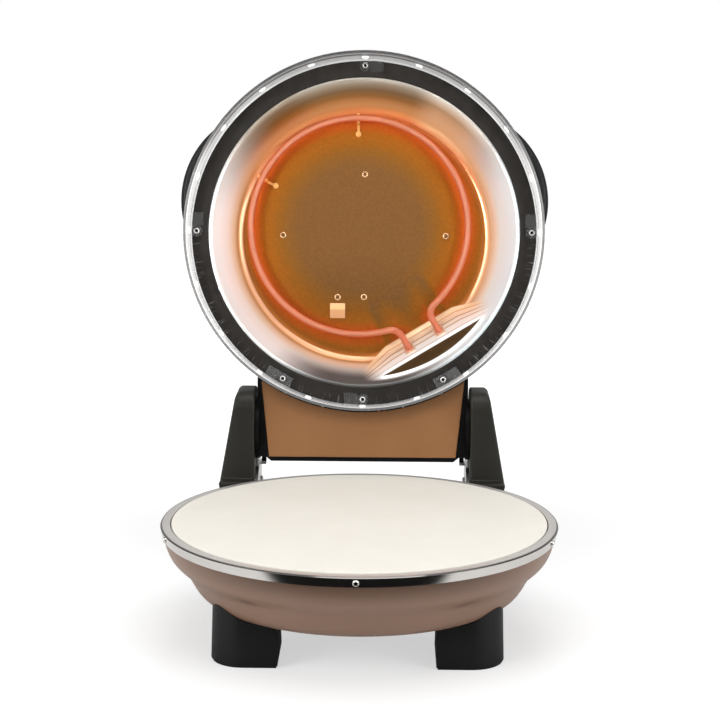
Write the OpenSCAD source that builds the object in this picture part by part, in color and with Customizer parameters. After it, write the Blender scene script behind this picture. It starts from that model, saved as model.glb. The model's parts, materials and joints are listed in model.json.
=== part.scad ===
// Electric pizza maker: a baking stone in a round base, under a hinged reflector lid.
// The lid is drawn standing open, as the cooker waits to be loaded.
// Origin: centre of the baking stone's top face. Z points up and the cooker's front faces -Y.
// The lid's pieces are drawn in the closed position, then swung open about the hinge axis.

/* [Baking stone] */
// Diameter of the baking stone
stone_d = 310; // [280:1:340]
// Thickness of the baking stone
stone_t = 12; // [8:0.5:14]
// Gap between the stone and the ring round it
stone_gap = 1; // [0.5:0.1:2]

/* [Rim ring] */
// Width of the ring's flat top
ring_w = 8; // [7:0.5:12]
// Height of the stone's face above the ring
ring_drop = 1; // [0.6:0.1:1.5]
// Height of the band round the ring
band_h = 8.2; // [7.5:0.1:9]
// How far the band leans in towards its lower edge
band_lean = 1.6; // [0.8:0.1:2]
// Sheet thickness of the ring
ring_t = 0.8; // [0.6:0.1:1]
// Number of screws round the ring
ring_screw_count = 5; // [3:1:8]

/* [Base bowl] */
// Height of the bowl below the ring's band
bowl_h = 52; // [50:1:56]
// Wall thickness of the bowl
bowl_t = 1.6; // [1.2:0.1:2]
// How far the waist is drawn in from the ring's edge
waist_in = 16.4; // [15:0.2:18]
// Depth of the waist below the band
waist_drop = 23; // [21:0.5:25]
// How far the flat base is drawn in from the ring's edge
base_in = 50; // [48:1:54]
// Thickness of the bottom cover
cover_t = 1; // [0.8:0.1:1.5]

/* [Feet] */
// Half of the gap between the feet
foot_inner_x = 62.5; // [58:0.5:66]
// Width of a foot
foot_w = 54.5; // [50:0.5:58]
// Length of a foot from front to back
foot_l = 60; // [56:1:64]
// Radius of a foot's outer corners
foot_round = 27; // [20:1:28]
// Distance of the front feet's faces from the middle
foot_front = 94.5; // [90:0.5:98]
// Distance of the rear feet's faces from the middle
foot_rear = 118; // [112:1:120]
// Height of the stone's face above the table
stone_rise = 97; // [92:1:105]
// How far a foot spreads between its top and its sole
foot_flare = 3.5; // [1:0.5:5]
// Wall thickness of a foot
foot_t = 3; // [2:0.5:4]
// Thickness of the rubber soles
sole_t = 1.6; // [1:0.1:3]

/* [Hinge] */
// Distance of the hinge axis behind the ring's edge
pivot_back = 16; // [15:0.5:18]
// Height of the hinge axis above the stone's face
pivot_z = 37.5; // [37:0.5:39]
// Angle between the closed and the open lid
open_angle = 102; // [96:1:104]
// Diameter of the hinge pins
pin_d = 12; // [10:0.5:13]
// Diameter of the wire passage through the pins
pin_bore = 6; // [4:0.5:7]
// Running clearance between pin and bush, on the radius
pin_play = 0.05; // [0.03:0.01:0.08]
// Half of the gap between the two arms
arm_x = 98; // [97:0.5:100]
// Width of an arm at its top
arm_top_w = 16.8; // [16:0.2:20]
// Width of an arm beside the ring
arm_low_w = 31.6; // [28:0.2:34]
// Height of an arm above the hinge axis
arm_rise = 38.5; // [34:0.5:39]
// Reach of an arm in front of the hinge axis
arm_front = 30; // [28:0.5:31]
// Reach of an arm behind the hinge axis
arm_rear = 25; // [23:0.5:27]
// Wall thickness of an arm
arm_t = 3; // [2.5:0.5:4]
// Thickness of the steel side plates
plate_t = 3; // [2:0.5:3]

/* [Lid] */
// Height of the clear guard ring
guard_h = 24; // [23.5:0.5:25]
// How far the guard leans in towards the dome
guard_lean = 3.6; // [3:0.1:4]
// Wall thickness of the guard
guard_t = 2.2; // [1.8:0.1:2.6]
// Height of the frame ring's face above the lid's mouth
frame_z = 20; // [19:0.5:20.5]
// Thickness of the frame ring
frame_t = 3; // [2:0.5:3.5]
// Width of the frame ring
frame_w = 15; // [14:0.5:16]
// Height of the dome's crown above the lid's mouth
dome_h = 70; // [68:0.5:74]
// Sheet thickness of the dome
dome_t = 1.2; // [1:0.1:1.6]
// Distance of the handles' edge beyond the guard
handle_reach = 11; // [8:0.5:14]
// Direction of the handles, in front of the lid's middle line
handle_angle = 20; // [15:1:25]
// Thickness of the handles
handle_h = 18; // [16:1:18]

/* [Reflector pan] */
// Depth of the pan's floor above the lid's mouth
pan_z = 51; // [49:0.5:52]
// Radius of the pan's floor, with its rounded edge
pan_floor_r = 119; // [117:0.5:121]
// Sheet thickness of the pan
pan_t = 0.8; // [0.6:0.1:1]
// Width of the rolled lip at the pan's mouth
pan_lip = 3.3; // [3:0.1:3.6]
// Direction of the terminal platform, turned from the rear towards the right
platform_turn = 31; // [20:1:40]
// Distance from the middle to the foot of the platform's wall
platform_r = 103; // [101:0.5:106]
// How far the platform's wall leans back
platform_lean = 18; // [16:0.5:20]
// Height of the platform's face above the lid's mouth
platform_z = 28; // [27.5:0.5:29]

/* [Heating elements] */
// Diameter of the heater tubes
heater_d = 6; // [5.5:0.5:7]
// Radius of the upper heater's loop
upper_r = 100.5; // [98:0.5:101]
// Height of the upper heater above the lid's mouth
upper_z = 38; // [37:0.5:39]
// How far the upper loop is shifted from the terminal platform
upper_shift = 9; // [8:0.5:10]
// Distance between the upper heater's two ends
upper_gap = 32; // [28:1:36]
// Bend radius where the upper heater turns out
upper_bend = 12; // [10:0.5:14]
// Radius of the lower heater's loop
lower_r = 95; // [85:1:100]
// Depth of the lower heater below the stone's face
lower_drop = 22; // [19:0.5:24]
// Depth of the lower reflector's floor below the stone's face
dish_drop = 44; // [42:0.5:46]
// Sheet thickness of the lower reflector
dish_t = 0.6; // [0.5:0.1:0.8]

/* [Controls] */
// Half of the distance between the two knobs
knob_x = 48; // [42:1:52]
// Diameter of the knobs
knob_d = 38; // [34:1:40]
// Height of the knobs
knob_h = 16; // [13:0.5:18]
// Diameter of the knobs' spindles
spindle_d = 6; // [5:0.5:7]
// Running clearance of a spindle in its bush, on the radius
spindle_play = 0.05; // [0.03:0.01:0.08]
// Radius of the bore of the cord gland
gland_bore = 3.75; // [3:0.25:4.5]

/* [Hinge housing] */
// Half of the housing's width
housing_x = 96.3; // [96:0.1:96.6]
// Height of the housing's underside above the lid's mouth
housing_z = 19; // [18.5:0.5:20]
// Height of the housing's top above the lid's mouth
housing_top = 58; // [57:0.5:60]
// Reach of the housing's sides behind the hinge axis
housing_rear = 26; // [25:0.5:26.5]
// Wall thickness of the housing
housing_t = 3; // [2.5:0.5:3.5]
// Half width of the brown plate at its rear edge
panel_x = 85; // [82:0.5:86]

/* [Hidden] */
$fn = 64;

// Gap between pieces of one body that lie against each other
fit = 0.3;
// Margin by which a cut runs past a face
over = 1;
// Colours of the pieces
bowl_colour = [0.50, 0.39, 0.34];
dark_colour = [0.16, 0.16, 0.15];
steel_colour = [0.80, 0.80, 0.80];
ceramic_colour = [0.94, 0.93, 0.88];

ring_in_r = stone_d / 2 + stone_gap;
ring_r = ring_in_r + ring_w;
ring_z = -ring_drop;
band_z = ring_z - band_h;
band_edge = 1;
pivot_y = ring_r + pivot_back;

// Points along a curve from a to d that leaves towards b and arrives from c
function curve(a, b, c, d, n = 10) = [
    for (i = [0:n]) let(t = i / n, s = 1 - t)
    a * s * s * s + b * 3 * t * s * s + c * 3 * t * t * s + d * t * t * t
];
// Points along a round corner
function corner(c, r, from, to, n = 6) = [
    for (i = [0:n]) let(a = from + (to - from) * i / n) c + r * [cos(a), sin(a)]
];
function reversed(p) = [for (i = [len(p) - 1:-1:0]) p[i]];
function tail(p) = [for (i = [1:len(p) - 1]) p[i]];

module pair() {
    children();
    mirror([1, 0, 0]) children();
}
module turned(angles) {
    for (a = angles) rotate([0, 0, a]) children();
}
// Swings a closed lid piece to the open position
module opened() {
    translate([0, pivot_y, pivot_z]) rotate([-open_angle, 0, 0])
        translate([0, -pivot_y, -pivot_z]) children();
}
module tube(r_out, r_in, h) {
    difference() {
        cylinder(r = r_out, h = h);
        translate([0, 0, -over]) cylinder(r = r_in, h = h + 2 * over);
    }
}
// A screw whose head stands on z = 0 and whose shank hangs below it
module screw(head_r, head_h, shank_r, shank_l) {
    difference() {
        union() {
            cylinder(r = head_r, h = head_h * 0.6);
            translate([0, 0, head_h * 0.6]) cylinder(r1 = head_r, r2 = head_r * 0.6, h = head_h * 0.4);
        }
        for (a = [0, 90]) rotate([0, 0, a])
            translate([-head_r * 0.55, -head_r * 0.13, head_h * 0.5])
                cube([head_r * 1.1, head_r * 0.26, head_h]);
    }
    translate([0, 0, -shank_l]) cylinder(r = shank_r, h = shank_l);
}
function unit(v) = v / norm(v);
// Direction of travel at point i of a path
function heading(p, i) = unit(p[min(i + 1, len(p) - 1)] - p[max(i - 1, 0)]);
// Sideways direction at point i, turned as little as the path allows
function sideways(p, i) =
    i == 0
    ? unit(cross(heading(p, 0), abs(heading(p, 0)[2]) < 0.9 ? [0, 0, 1] : [1, 0, 0]))
    : let(h = heading(p, i), s = sideways(p, i - 1)) unit(s - (s * h) * h);
// A round tube along a path of points, as one closed skin
module swept_tube(p, r, sides) {
    m = sides;
    last = len(p) - 1;
    rings = [for (i = [0:last]) let(s = sideways(p, i), w = cross(heading(p, i), s))
        for (j = [0:m - 1]) p[i] + r * (cos(j * 360 / m) * s + sin(j * 360 / m) * w)];
    skin = [for (i = [0:last - 1], j = [0:m - 1])
        let(a = i * m + j, b = i * m + (j + 1) % m) each [[a, a + m, b + m], [a, b + m, b]]];
    ends = [[for (j = [0:m - 1]) j], [for (j = [m - 1:-1:0]) last * m + j]];
    polyhedron(rings, concat(skin, ends));
}
function at_height(p, z) = [for (q = p) [q[0], q[1], z]];

// Base bowl. Its profile falls from the band, draws in to a waist and swells again to the base.
bowl_top_z = ring_z - ring_t - 1.2;
bowl_r = ring_r - band_lean - ring_t - 0.4;
bowl_z0 = band_z - 0.8;
bowl_z1 = bowl_z0 - bowl_h;
bowl_base_r = ring_r - base_in;
bowl_lip_r = bowl_base_r - 16;

// The bowl's outer profile, moved out by g. The waist between its two curves is rounded.
waist_round = 3;
function bowl_profile(g) =
    let(
        a = [bowl_r + g, bowl_z0],
        b = [bowl_r - 1.3 + g, bowl_z0 - 0.38 * waist_drop],
        c = [ring_r - 7.5 + g, bowl_z0 - 0.82 * waist_drop - g / 2],
        d = [ring_r - waist_in + g * 0.7, bowl_z0 - waist_drop - g * 0.7],
        e = [ring_r - waist_in - 13.2 + g * 0.7, d[1] - 15.6],
        f = [bowl_base_r + 24.7 + g * 0.8, bowl_z1 + 2.3 - g * 0.9],
        h = [bowl_base_r, bowl_z1 - g],
        upper = curve(a, b, c, d, 14),
        lower = curve(d, e, f, h, 20),
        into = upper[14 - waist_round],
        out = lower[waist_round],
        waist = curve(into, into + (into - upper[13 - waist_round]) * 1.6,
                      out - (lower[waist_round + 1] - out) * 1.6, out, 8)
    )
    concat([for (i = [0:14 - waist_round]) upper[i]], tail(waist),
           [for (i = [waist_round + 1:20]) lower[i]]);

// The bowl as a full body, moved out by g, to cut what lies against it
module bowl_solid(g) {
    rotate_extrude($fn = 120)
        polygon(concat([[0, bowl_top_z], [bowl_r + g, bowl_top_z]], bowl_profile(g),
                       [[0, bowl_z1 - g]]));
}
// The bowl with the rim ring's band, moved out by g
module base_solid(g) {
    bowl_solid(g);
    translate([0, 0, band_z - g]) cylinder(r = ring_r + g, h = ring_z - band_z + 2 * g, $fn = 120);
}

// Screws of the rim ring stand square to its leaning band
band_angle = atan(band_lean / (band_h - band_edge));
rim_screw_z = ring_z - band_edge - (band_h - band_edge) / 2;
rim_screw_r = ring_r - band_lean / 2;
module at_rim_screws() {
    for (i = [0:ring_screw_count - 1]) rotate([0, 0, i * 360 / ring_screw_count - 90])
        translate([rim_screw_r, 0, rim_screw_z]) rotate([0, 90 + band_angle, 0]) children();
}
rim_shank_r = 1.5;
rim_head_r = 2.7;

foot_x = foot_inner_x + foot_w / 2;
foot_front_y = -foot_front + foot_l / 2;
foot_rear_y = foot_rear - foot_l / 2;
foot_places = [[foot_x, foot_front_y], [foot_x, foot_rear_y]];
foot_shank_r = 2;
foot_top_z = bowl_z0 - waist_drop;

gland_r = 8;
gland_z = -46;
gland_y0 = ring_r - 34;
gland_y1 = ring_r - 12;
cover_r = bowl_lip_r + 6;
cover_screw_r = bowl_lip_r + 3;
post_at = 70;
saddle_screw_z = bowl_z0 - 7;
saddle_angles = [-30, -11, 11, 30];

module base_bowl() {
    color(bowl_colour) difference() {
        rotate_extrude($fn = 120)
            polygon(concat([[bowl_r - bowl_t, bowl_top_z], [bowl_r, bowl_top_z]], bowl_profile(0),
                           [[bowl_lip_r, bowl_z1], [bowl_lip_r, bowl_z1 + bowl_t]],
                           reversed(bowl_profile(-bowl_t))));
        at_rim_screws() translate([0, 0, -8]) cylinder(r = rim_shank_r + 0.1, h = 12);
        turned([0, 90, 180, 270]) translate([cover_screw_r, 0, bowl_z1 - over])
            cylinder(r = 1.6, h = bowl_t + 2 * over);
        pair() for (p = foot_places) translate([p[0], p[1], bowl_z1 - 4])
            cylinder(r = foot_shank_r + 0.1, h = 24);
        translate([0, gland_y0 - 4, gland_z]) rotate([-90, 0, 0])
            cylinder(r = gland_r, h = gland_y1 - gland_y0);
        turned(saddle_angles) translate([0, bowl_r - 10, saddle_screw_z]) rotate([-90, 0, 0])
            cylinder(r = 1.6, h = 14);
    }
}

module rim_ring() {
    low = ring_r - band_lean;
    ledge_z = -stone_t;
    ledge_r = ring_in_r - 7;
    color(steel_colour) difference() {
        rotate_extrude($fn = 180) polygon([
            [low, band_z], [ring_r, ring_z - band_edge], [ring_r - band_edge, ring_z],
            [ring_in_r, ring_z], [ring_in_r, ledge_z], [ledge_r, ledge_z],
            [ledge_r, ledge_z - ring_t], [ring_in_r + ring_t, ledge_z - ring_t],
            [ring_in_r + ring_t, ring_z - ring_t], [ring_r - band_edge - 0.3, ring_z - ring_t],
            [ring_r - ring_t, ring_z - band_edge - 0.3], [low - ring_t, band_z]
        ]);
        at_rim_screws() translate([0, 0, -3]) cylinder(r = rim_shank_r + 0.1, h = 6);
    }
}

module rim_screws() {
    color(steel_colour) at_rim_screws() translate([0, 0, 0.05]) screw(rim_head_r, 1.5, rim_shank_r, 5.5);
}

module baking_stone() {
    edge = 1.2;
    r = stone_d / 2;
    color(ceramic_colour) rotate_extrude($fn = 180) polygon(concat(
        [[0, -stone_t], [r - edge, -stone_t], [r, -stone_t + edge]],
        corner([r - edge, -edge], edge, 0, 90), [[0, 0]]));
}

dish_r = ring_r - 44;
dish_flange_z = -stone_t - ring_t - 0.8;
heater_r = heater_d / 2;
clip_r = heater_r + 0.25;
lower_bend = 6;
lower_end_a = asin(19 / lower_r);
leg_end_z = -dish_drop - 8;
// Where the lower heater's right leg goes down
lower_leg = [lower_r * sin(lower_end_a) - lower_bend * cos(lower_end_a),
             lower_r * cos(lower_end_a) + lower_bend * sin(lower_end_a)];
// Right half of the lower heater: its leg, the bend into the loop, and the loop round to the front
function lower_half() =
    let(
        a = 90 - lower_end_a,
        end = [lower_r * cos(a), lower_r * sin(a), -lower_drop - lower_bend],
        back = [-sin(a), cos(a), 0]
    )
    concat(
        [[lower_leg[0], lower_leg[1], leg_end_z]],
        [for (t = [0:15:90]) end + lower_bend * (cos(t) * back + sin(t) * [0, 0, 1])],
        at_height(tail(corner([0, 0], lower_r, a, -90, 34)), -lower_drop)
    );
function mirrored(p) = [for (q = p) [-q[0], q[1], q[2]]];

module lower_reflector() {
    in_r = ring_in_r - 14;
    color(steel_colour) difference() {
        rotate_extrude($fn = 120) polygon([
            [0, -dish_drop], [dish_r, -dish_drop], [dish_r + 4, -dish_drop + 2],
            [in_r, dish_flange_z + dish_t], [ring_in_r, dish_flange_z + dish_t],
            [ring_in_r, dish_flange_z], [in_r + 0.4, dish_flange_z],
            [dish_r + 4.5, -dish_drop + 1.5], [dish_r + 0.2, -dish_drop - dish_t],
            [0, -dish_drop - dish_t]
        ]);
        turned([45, 135, 225, 315]) translate([post_at, 0, -dish_drop - 2])
            cylinder(r = 2.1, h = 4);
        pair() translate([lower_leg[0], lower_leg[1], -dish_drop - 2]) cylinder(r = 5, h = 4);
    }
}

// Spacers that hold the lower reflector above the bottom cover, each with its own screw
module reflector_posts() {
    post_h = -dish_drop - dish_t - bowl_z1 + 0.2;
    color(steel_colour) turned([45, 135, 225, 315]) translate([post_at, 0, bowl_z1 - 0.2]) {
        cylinder(r = 4, h = post_h);
        translate([0, 0, post_h]) cylinder(r = 2, h = dish_t + 0.2);
        translate([0, 0, post_h + dish_t + 0.1]) cylinder(r = 3.6, h = 2);
    }
}

module lower_heater() {
    color("firebrick")
        swept_tube(concat(lower_half(), tail(reversed(mirrored(lower_half())))), heater_r, 16);
}

module lower_heater_clips() {
    color(steel_colour) turned([-30, 210, 30, 150]) translate([lower_r, 0, -dish_drop])
        difference() {
            translate([-5, -1, 0]) cube([10, 2, dish_drop - lower_drop + 1]);
            translate([0, -over * 2, dish_drop - lower_drop]) rotate([-90, 0, 0])
                cylinder(r = clip_r, h = 4 * over);
        }
}

module lower_heater_bushes() {
    color(ceramic_colour) pair()
        translate([lower_leg[0], lower_leg[1], -dish_drop - 4]) {
            tube(5, heater_r, 7);
            translate([0, 0, 4]) tube(7, heater_r, 1.5);
        }
}

module bottom_cover() {
    color(steel_colour) difference() {
        translate([0, 0, bowl_z1 - 0.2 - cover_t]) cylinder(r = cover_r, h = cover_t, $fn = 120);
        turned([0, 90, 180, 270]) translate([cover_screw_r, 0, bowl_z1 - 4]) cylinder(r = 1.6, h = 6);
        for (x = [-30:10:30]) translate([x - 1.5, -20, bowl_z1 - 4]) cube([3, 40, 6]);
    }
}

module cover_screws() {
    color(steel_colour) turned([0, 90, 180, 270])
        translate([cover_screw_r, 0, bowl_z1 - 0.25 - cover_t]) rotate([180, 0, 0])
            screw(3, 1.8, 1.5, 6);
}

// Outline of a foot: inner corners sharp, outer ones round
module foot_outline(spread, inset) {
    w = foot_w / 2 + spread / 2 - inset;
    l = foot_l / 2 + spread / 2 - inset;
    r = foot_round - inset;
    polygon(concat(corner([w - r, l - r], r, 90, 0, 10), corner([w - r, r - l], r, 0, -90, 10),
                   [[-w, -l], [-w, l]]));
}
module foot_level(z, spread, inset) {
    translate([0, 0, z]) linear_extrude(0.1) foot_outline(spread, inset);
}

// A hollow foot, closed at its sole and fitted to the bowl at its top. x points to the outside.
module foot(p) {
    base_z = -stone_rise + sole_t;
    difference() {
        translate([p[0], p[1], 0]) difference() {
            hull() {
                foot_level(base_z, 0, 0);
                foot_level(foot_top_z, -foot_flare, 0);
            }
            difference() {
                hull() {
                    foot_level(base_z + foot_t, 0, foot_t);
                    foot_level(foot_top_z + over, -foot_flare, foot_t);
                }
                cylinder(r = 7, h = 2 * stone_rise, center = true);
            }
            translate([0, 0, base_z - over]) cylinder(r = 5, h = 16);
            translate([0, 0, base_z]) cylinder(r = foot_shank_r + 0.1, h = stone_rise);
        }
        bowl_solid(fit);
        translate([0, 0, bowl_z1 - cover_t - 0.6]) cylinder(r = cover_r + 1, h = 20, $fn = 120);
    }
}
module foot_front_left() { color(dark_colour) mirror([1, 0, 0]) foot(foot_places[0]); }
module foot_front_right() { color(dark_colour) foot(foot_places[0]); }
module foot_rear_left() { color(dark_colour) mirror([1, 0, 0]) foot(foot_places[1]); }
module foot_rear_right() { color(dark_colour) foot(foot_places[1]); }

module foot_soles() {
    color("black") pair() for (p = foot_places) translate([p[0], p[1], -stone_rise]) difference() {
        linear_extrude(sole_t) foot_outline(0, 1);
        translate([0, 0, -over]) cylinder(r = 7, h = 2 * sole_t + over);
    }
}

module foot_screws() {
    head_z = -stone_rise + sole_t + 15;
    color(steel_colour) pair() for (p = foot_places) translate([p[0], p[1], head_z - 0.05])
        rotate([180, 0, 0]) screw(4, 2.5, foot_shank_r, bowl_z1 + 8 - head_z);
}

// A curved steel saddle that hugs the bowl's rear between the two side plates
saddle_t = 2;
saddle_x = arm_x - plate_t;
module rear_saddle() {
    saddle_h = 17;
    // The saddle's front ends, in front of the side plates' front edges
    saddle_y = bowl_base_r - 24;
    color(steel_colour) difference() {
        intersection() {
            bowl_solid(fit + saddle_t);
            translate([-saddle_x, 0, bowl_z0 - saddle_h - 2]) cube([2 * saddle_x, ring_r, saddle_h]);
            rotate_extrude($fn = 120) translate([ring_r - 34, -stone_rise]) square([34, stone_rise]);
        }
        bowl_solid(fit);
        translate([-2 * ring_r, -2 * ring_r, -stone_rise]) cube([4 * ring_r, 2 * ring_r + saddle_y, stone_rise]);
        turned(saddle_angles) translate([0, bowl_r - 10, saddle_screw_z]) rotate([-90, 0, 0])
            cylinder(r = 1.6, h = 14);
    }
}
module saddle_screws() {
    color(steel_colour) turned(saddle_angles)
        translate([0, bowl_r + fit + saddle_t + 0.1, saddle_screw_z]) rotate([-90, 0, 0])
            screw(3, 1.8, 1.5, 8);
}

arm_base_z = -46;
arm_y0 = pivot_y - arm_front;
arm_y1 = pivot_y + arm_rear;
arm_z1 = pivot_z + arm_rise;
arm_shank_r = 2;
arm_screw_places = [[arm_y0 + 2, -22], [arm_y0 + 24, -36], [arm_y1 - 14, -14]];
stop_z = 3.3;
stop_y = pivot_y + 10;
stop_w = 10;
stop_t = 2.5;
stop_reach = 5;
plate_top_z = 3.5;

// Steel side plate with its stop tab
module bracket_plate() {
    color(steel_colour) difference() {
        union() {
            translate([arm_x - plate_t, 0, 0]) rotate([90, 0, 90]) linear_extrude(plate_t) polygon([
                [arm_y0 - 18, arm_base_z + 4], [arm_y1 - 20, arm_base_z + 4],
                [arm_y1 - 1, -14], [arm_y1 - 1, plate_top_z - 3], [arm_y1 - 4, plate_top_z],
                [arm_y1 - 36, plate_top_z], [arm_y0 + 4, -6], [arm_y0 - 18, -6]
            ]);
            translate([arm_x - plate_t - stop_reach, stop_y, stop_z - stop_t])
                cube([stop_reach + 0.5, stop_w, stop_t]);
        }
        base_solid(fit);
        at_rim_screws() cylinder(r = rim_head_r + fit, h = 3);
        for (p = arm_screw_places) translate([arm_x - 10, p[0], p[1]]) rotate([0, 90, 0])
            cylinder(r = arm_shank_r + 0.1, h = 20);
    }
}
module bracket_plate_left() { mirror([1, 0, 0]) bracket_plate(); }
module bracket_plate_right() { bracket_plate(); }

// Rubber buffers that the open housing rests on
module stop_buffers() {
    color("black") pair() translate([arm_x - plate_t - stop_reach + 0.2, stop_y + 2, stop_z])
        cube([stop_reach - 1, stop_w - 3, 4]);
}

// Outline of an arm from the front, drawn in by g
module arm_front_outline(g) {
    low_z = band_z + 3;
    lean = atan((arm_low_w - arm_top_w) / (arm_z1 - low_z));
    r = 8 - g;
    edge_x = arm_x + arm_low_w - (arm_low_w - arm_top_w) * (arm_z1 - 8 - low_z) / (arm_z1 - low_z);
    polygon(concat(
        [[arm_x + g, arm_base_z - (g > 0 ? 2 : 0)], [arm_x + 14 - g, arm_base_z - (g > 0 ? 2 : 0)],
         [arm_x + arm_low_w - 2 - g, low_z - 9], [arm_x + arm_low_w - g, low_z]],
        corner([edge_x - 8 / cos(lean), arm_z1 - 8], r, lean, 90),
        [[arm_x + g, arm_z1 - g]]));
}
// Outline of an arm from the side, drawn in by g
module arm_side_outline(g) {
    low = arm_base_z - (g > 0 ? 2 : 0);
    polygon(concat(
        [[arm_y0 - 13 + g, low], [arm_y1 - 23 - g, low], [arm_y1 - g, -6]],
        corner([arm_y1 - 20, arm_z1 - 20], 20 - g, 0, 90),
        corner([arm_y0 + 14, arm_z1 - 14], 14 - g, 90, 180),
        [[arm_y0 + g, -4 - g], [arm_y0 - 13 + g, -4 - g]]));
}
module arm_body(g) {
    intersection() {
        translate([0, arm_y1 + 50, 0]) rotate([90, 0, 0]) linear_extrude(150) arm_front_outline(g);
        rotate([90, 0, 90]) linear_extrude(2 * arm_x) arm_side_outline(g);
    }
}
module hinge_arm() {
    color(dark_colour) difference() {
        arm_body(0);
        difference() {
            arm_body(arm_t);
            translate([arm_x, pivot_y, pivot_z]) rotate([0, 90, 0]) cylinder(r = pin_d / 2 + 6, h = 40);
        }
        base_solid(fit);
        at_rim_screws() cylinder(r = rim_head_r + fit, h = 3);
        translate([arm_x - over, pivot_y, pivot_z]) rotate([0, 90, 0])
            cylinder(r = pin_d / 2, h = 15 + over);
        for (p = arm_screw_places) translate([arm_x - over, p[0], p[1]]) rotate([0, 90, 0])
            cylinder(r = arm_shank_r, h = arm_t + 2 * over);
    }
}
module hinge_arm_left() { mirror([1, 0, 0]) hinge_arm(); }
module hinge_arm_right() { hinge_arm(); }

module arm_screws() {
    color(steel_colour) pair() for (p = arm_screw_places)
        translate([arm_x - plate_t - 0.1, p[0], p[1]]) rotate([0, -90, 0]) screw(3.6, 2, arm_shank_r, 11);
}

bush_len = 16;
bush_x0 = arm_x - 0.4 - bush_len;
bush_r = pin_d / 2 + 3;
module hinge_pin() {
    color(steel_colour) translate([bush_x0 + 1, pivot_y, pivot_z]) rotate([0, 90, 0])
        tube(pin_d / 2, pin_bore / 2, arm_x + 14 - bush_x0);
}
module hinge_pin_left() { mirror([1, 0, 0]) hinge_pin(); }
module hinge_pin_right() { hinge_pin(); }

// The block clears both the heater's legs and the bowl's lip
block_y = min(lower_leg[1] - 14.3, bowl_lip_r - 18);
block_back = block_y + 8;
block_z = bowl_z1 - 0.2;
module terminal_block() {
    color(ceramic_colour) difference() {
        translate([-18, block_y - 8, block_z]) cube([36, 16, 12]);
        for (x = [-12, -4, 4, 12]) translate([x, block_y, block_z + 5]) cylinder(r = 1.8, h = 8);
    }
}

module cord_gland() {
    color("black") translate([0, gland_y0, gland_z]) rotate([-90, 0, 0]) {
        tube(gland_r, gland_bore, gland_y1 - gland_y0 - 2);
        translate([0, 0, gland_y1 - gland_y0 - 5]) tube(gland_r + 3, gland_bore, 3);
    }
}

wire_r = 1.3;
module base_wiring() {
    color("firebrick") pair() {
        swept_tube([[lower_leg[0], lower_leg[1], leg_end_z - 0.1],
                    [lower_leg[0], lower_leg[1], leg_end_z - 1.2],
                    [12, block_back + 3.5, block_z + 6], [12, block_back + 0.1, block_z + 6]], wire_r, 8);
        swept_tube([[1.6, gland_y0 - 0.5, gland_z], [1.6, gland_y0 - 6, gland_z],
                    [4, block_back + 8, block_z + 8], [4, block_back + 3, block_z + 6],
                    [4, block_back + 0.1, block_z + 6]], wire_r, 8);
    }
}

// Lid, drawn closed. Its mouth lies at z = 0.
dome_z0 = guard_h + 0.4;
dome_r = ring_r - guard_lean + 0.2;
dome_flat_r = dome_r - 90;
function dome_profile(g) =
    concat(curve([dome_r + g, dome_z0], [dome_r - 0.4 + g, dome_z0 + 20],
                 [dome_r - 15 + g * 0.7, dome_h - 8 + g * 0.7], [dome_r - 48, dome_h - 2 + g]),
           [[dome_flat_r, dome_h - 0.6 + g], [0, dome_h + g]]);
module dome_solid(g) {
    rotate_extrude($fn = 120) polygon(concat([[0, dome_z0]], dome_profile(g)));
}
// Room that the guard and the dome take, moved out by g
module lid_room(g) {
    dome_solid(g);
    translate([0, 0, -over]) cylinder(r = ring_r + 0.3 + g, h = dome_z0 + over, $fn = 120);
}

guard_screw_r = ring_r - 10.6;
guard_angles = [0, 90, 180, 270];
nub_angles = [for (i = [0:19]) i * 18];
long_tab_angles = [60, 120];
guard_screw_angles = [0, 90, 180, 270, 61.5, 118.5];
pan_screw_places = [[76, 0], [-76, 0], [0, 57.5], [0, -57.5]];
boss_r = 2.7;
handle_screw_angles = [-handle_angle - 8, -handle_angle + 8];
housing_screw_angles = [-26, -13, 13, 26];
lead_angle = -6;
lead_hole_r = 8;
skirt_screw_z = 36;
skirt_shank_r = 1.7;
skirt_head_r = dome_r - dome_t - 3.8;

module lid_dome() {
    color(bowl_colour) difference() {
        union() {
            rotate_extrude($fn = 120)
                polygon(concat(dome_profile(0), [[0, dome_h - dome_t]],
                               reversed(dome_profile(-dome_t))));
            intersection() {
                union() {
                    turned(guard_screw_angles) translate([guard_screw_r, 0, frame_z + frame_t])
                        cylinder(r = boss_r, h = 30, $fn = 24);
                    for (p = pan_screw_places) translate([p[0], p[1], pan_z + pan_t])
                        cylinder(r = 4, h = 30, $fn = 32);
                }
                translate([0, 0, -dome_t / 2]) union() {
                    dome_solid(0);
                    cylinder(r = dome_r - dome_t, h = dome_z0 + dome_t, $fn = 120);
                }
            }
        }
        turned(guard_screw_angles) translate([guard_screw_r, 0, frame_z]) cylinder(r = 1.5, h = 18, $fn = 24);
        for (p = pan_screw_places) translate([p[0], p[1], pan_z]) cylinder(r = 1.7, h = 11, $fn = 24);
        pair() turned(handle_screw_angles) translate([ring_r - 20, 0, skirt_screw_z]) rotate([0, 90, 0])
            cylinder(r = 2, h = 25, $fn = 24);
        turned(housing_screw_angles) translate([0, ring_r - 20, skirt_screw_z]) rotate([-90, 0, 0])
            cylinder(r = 2, h = 25, $fn = 24);
        turned([lead_angle]) translate([0, ring_r - 7, skirt_screw_z]) rotate([-90, 0, 0])
            cylinder(r = lead_hole_r, h = 20);
    }
}

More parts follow.
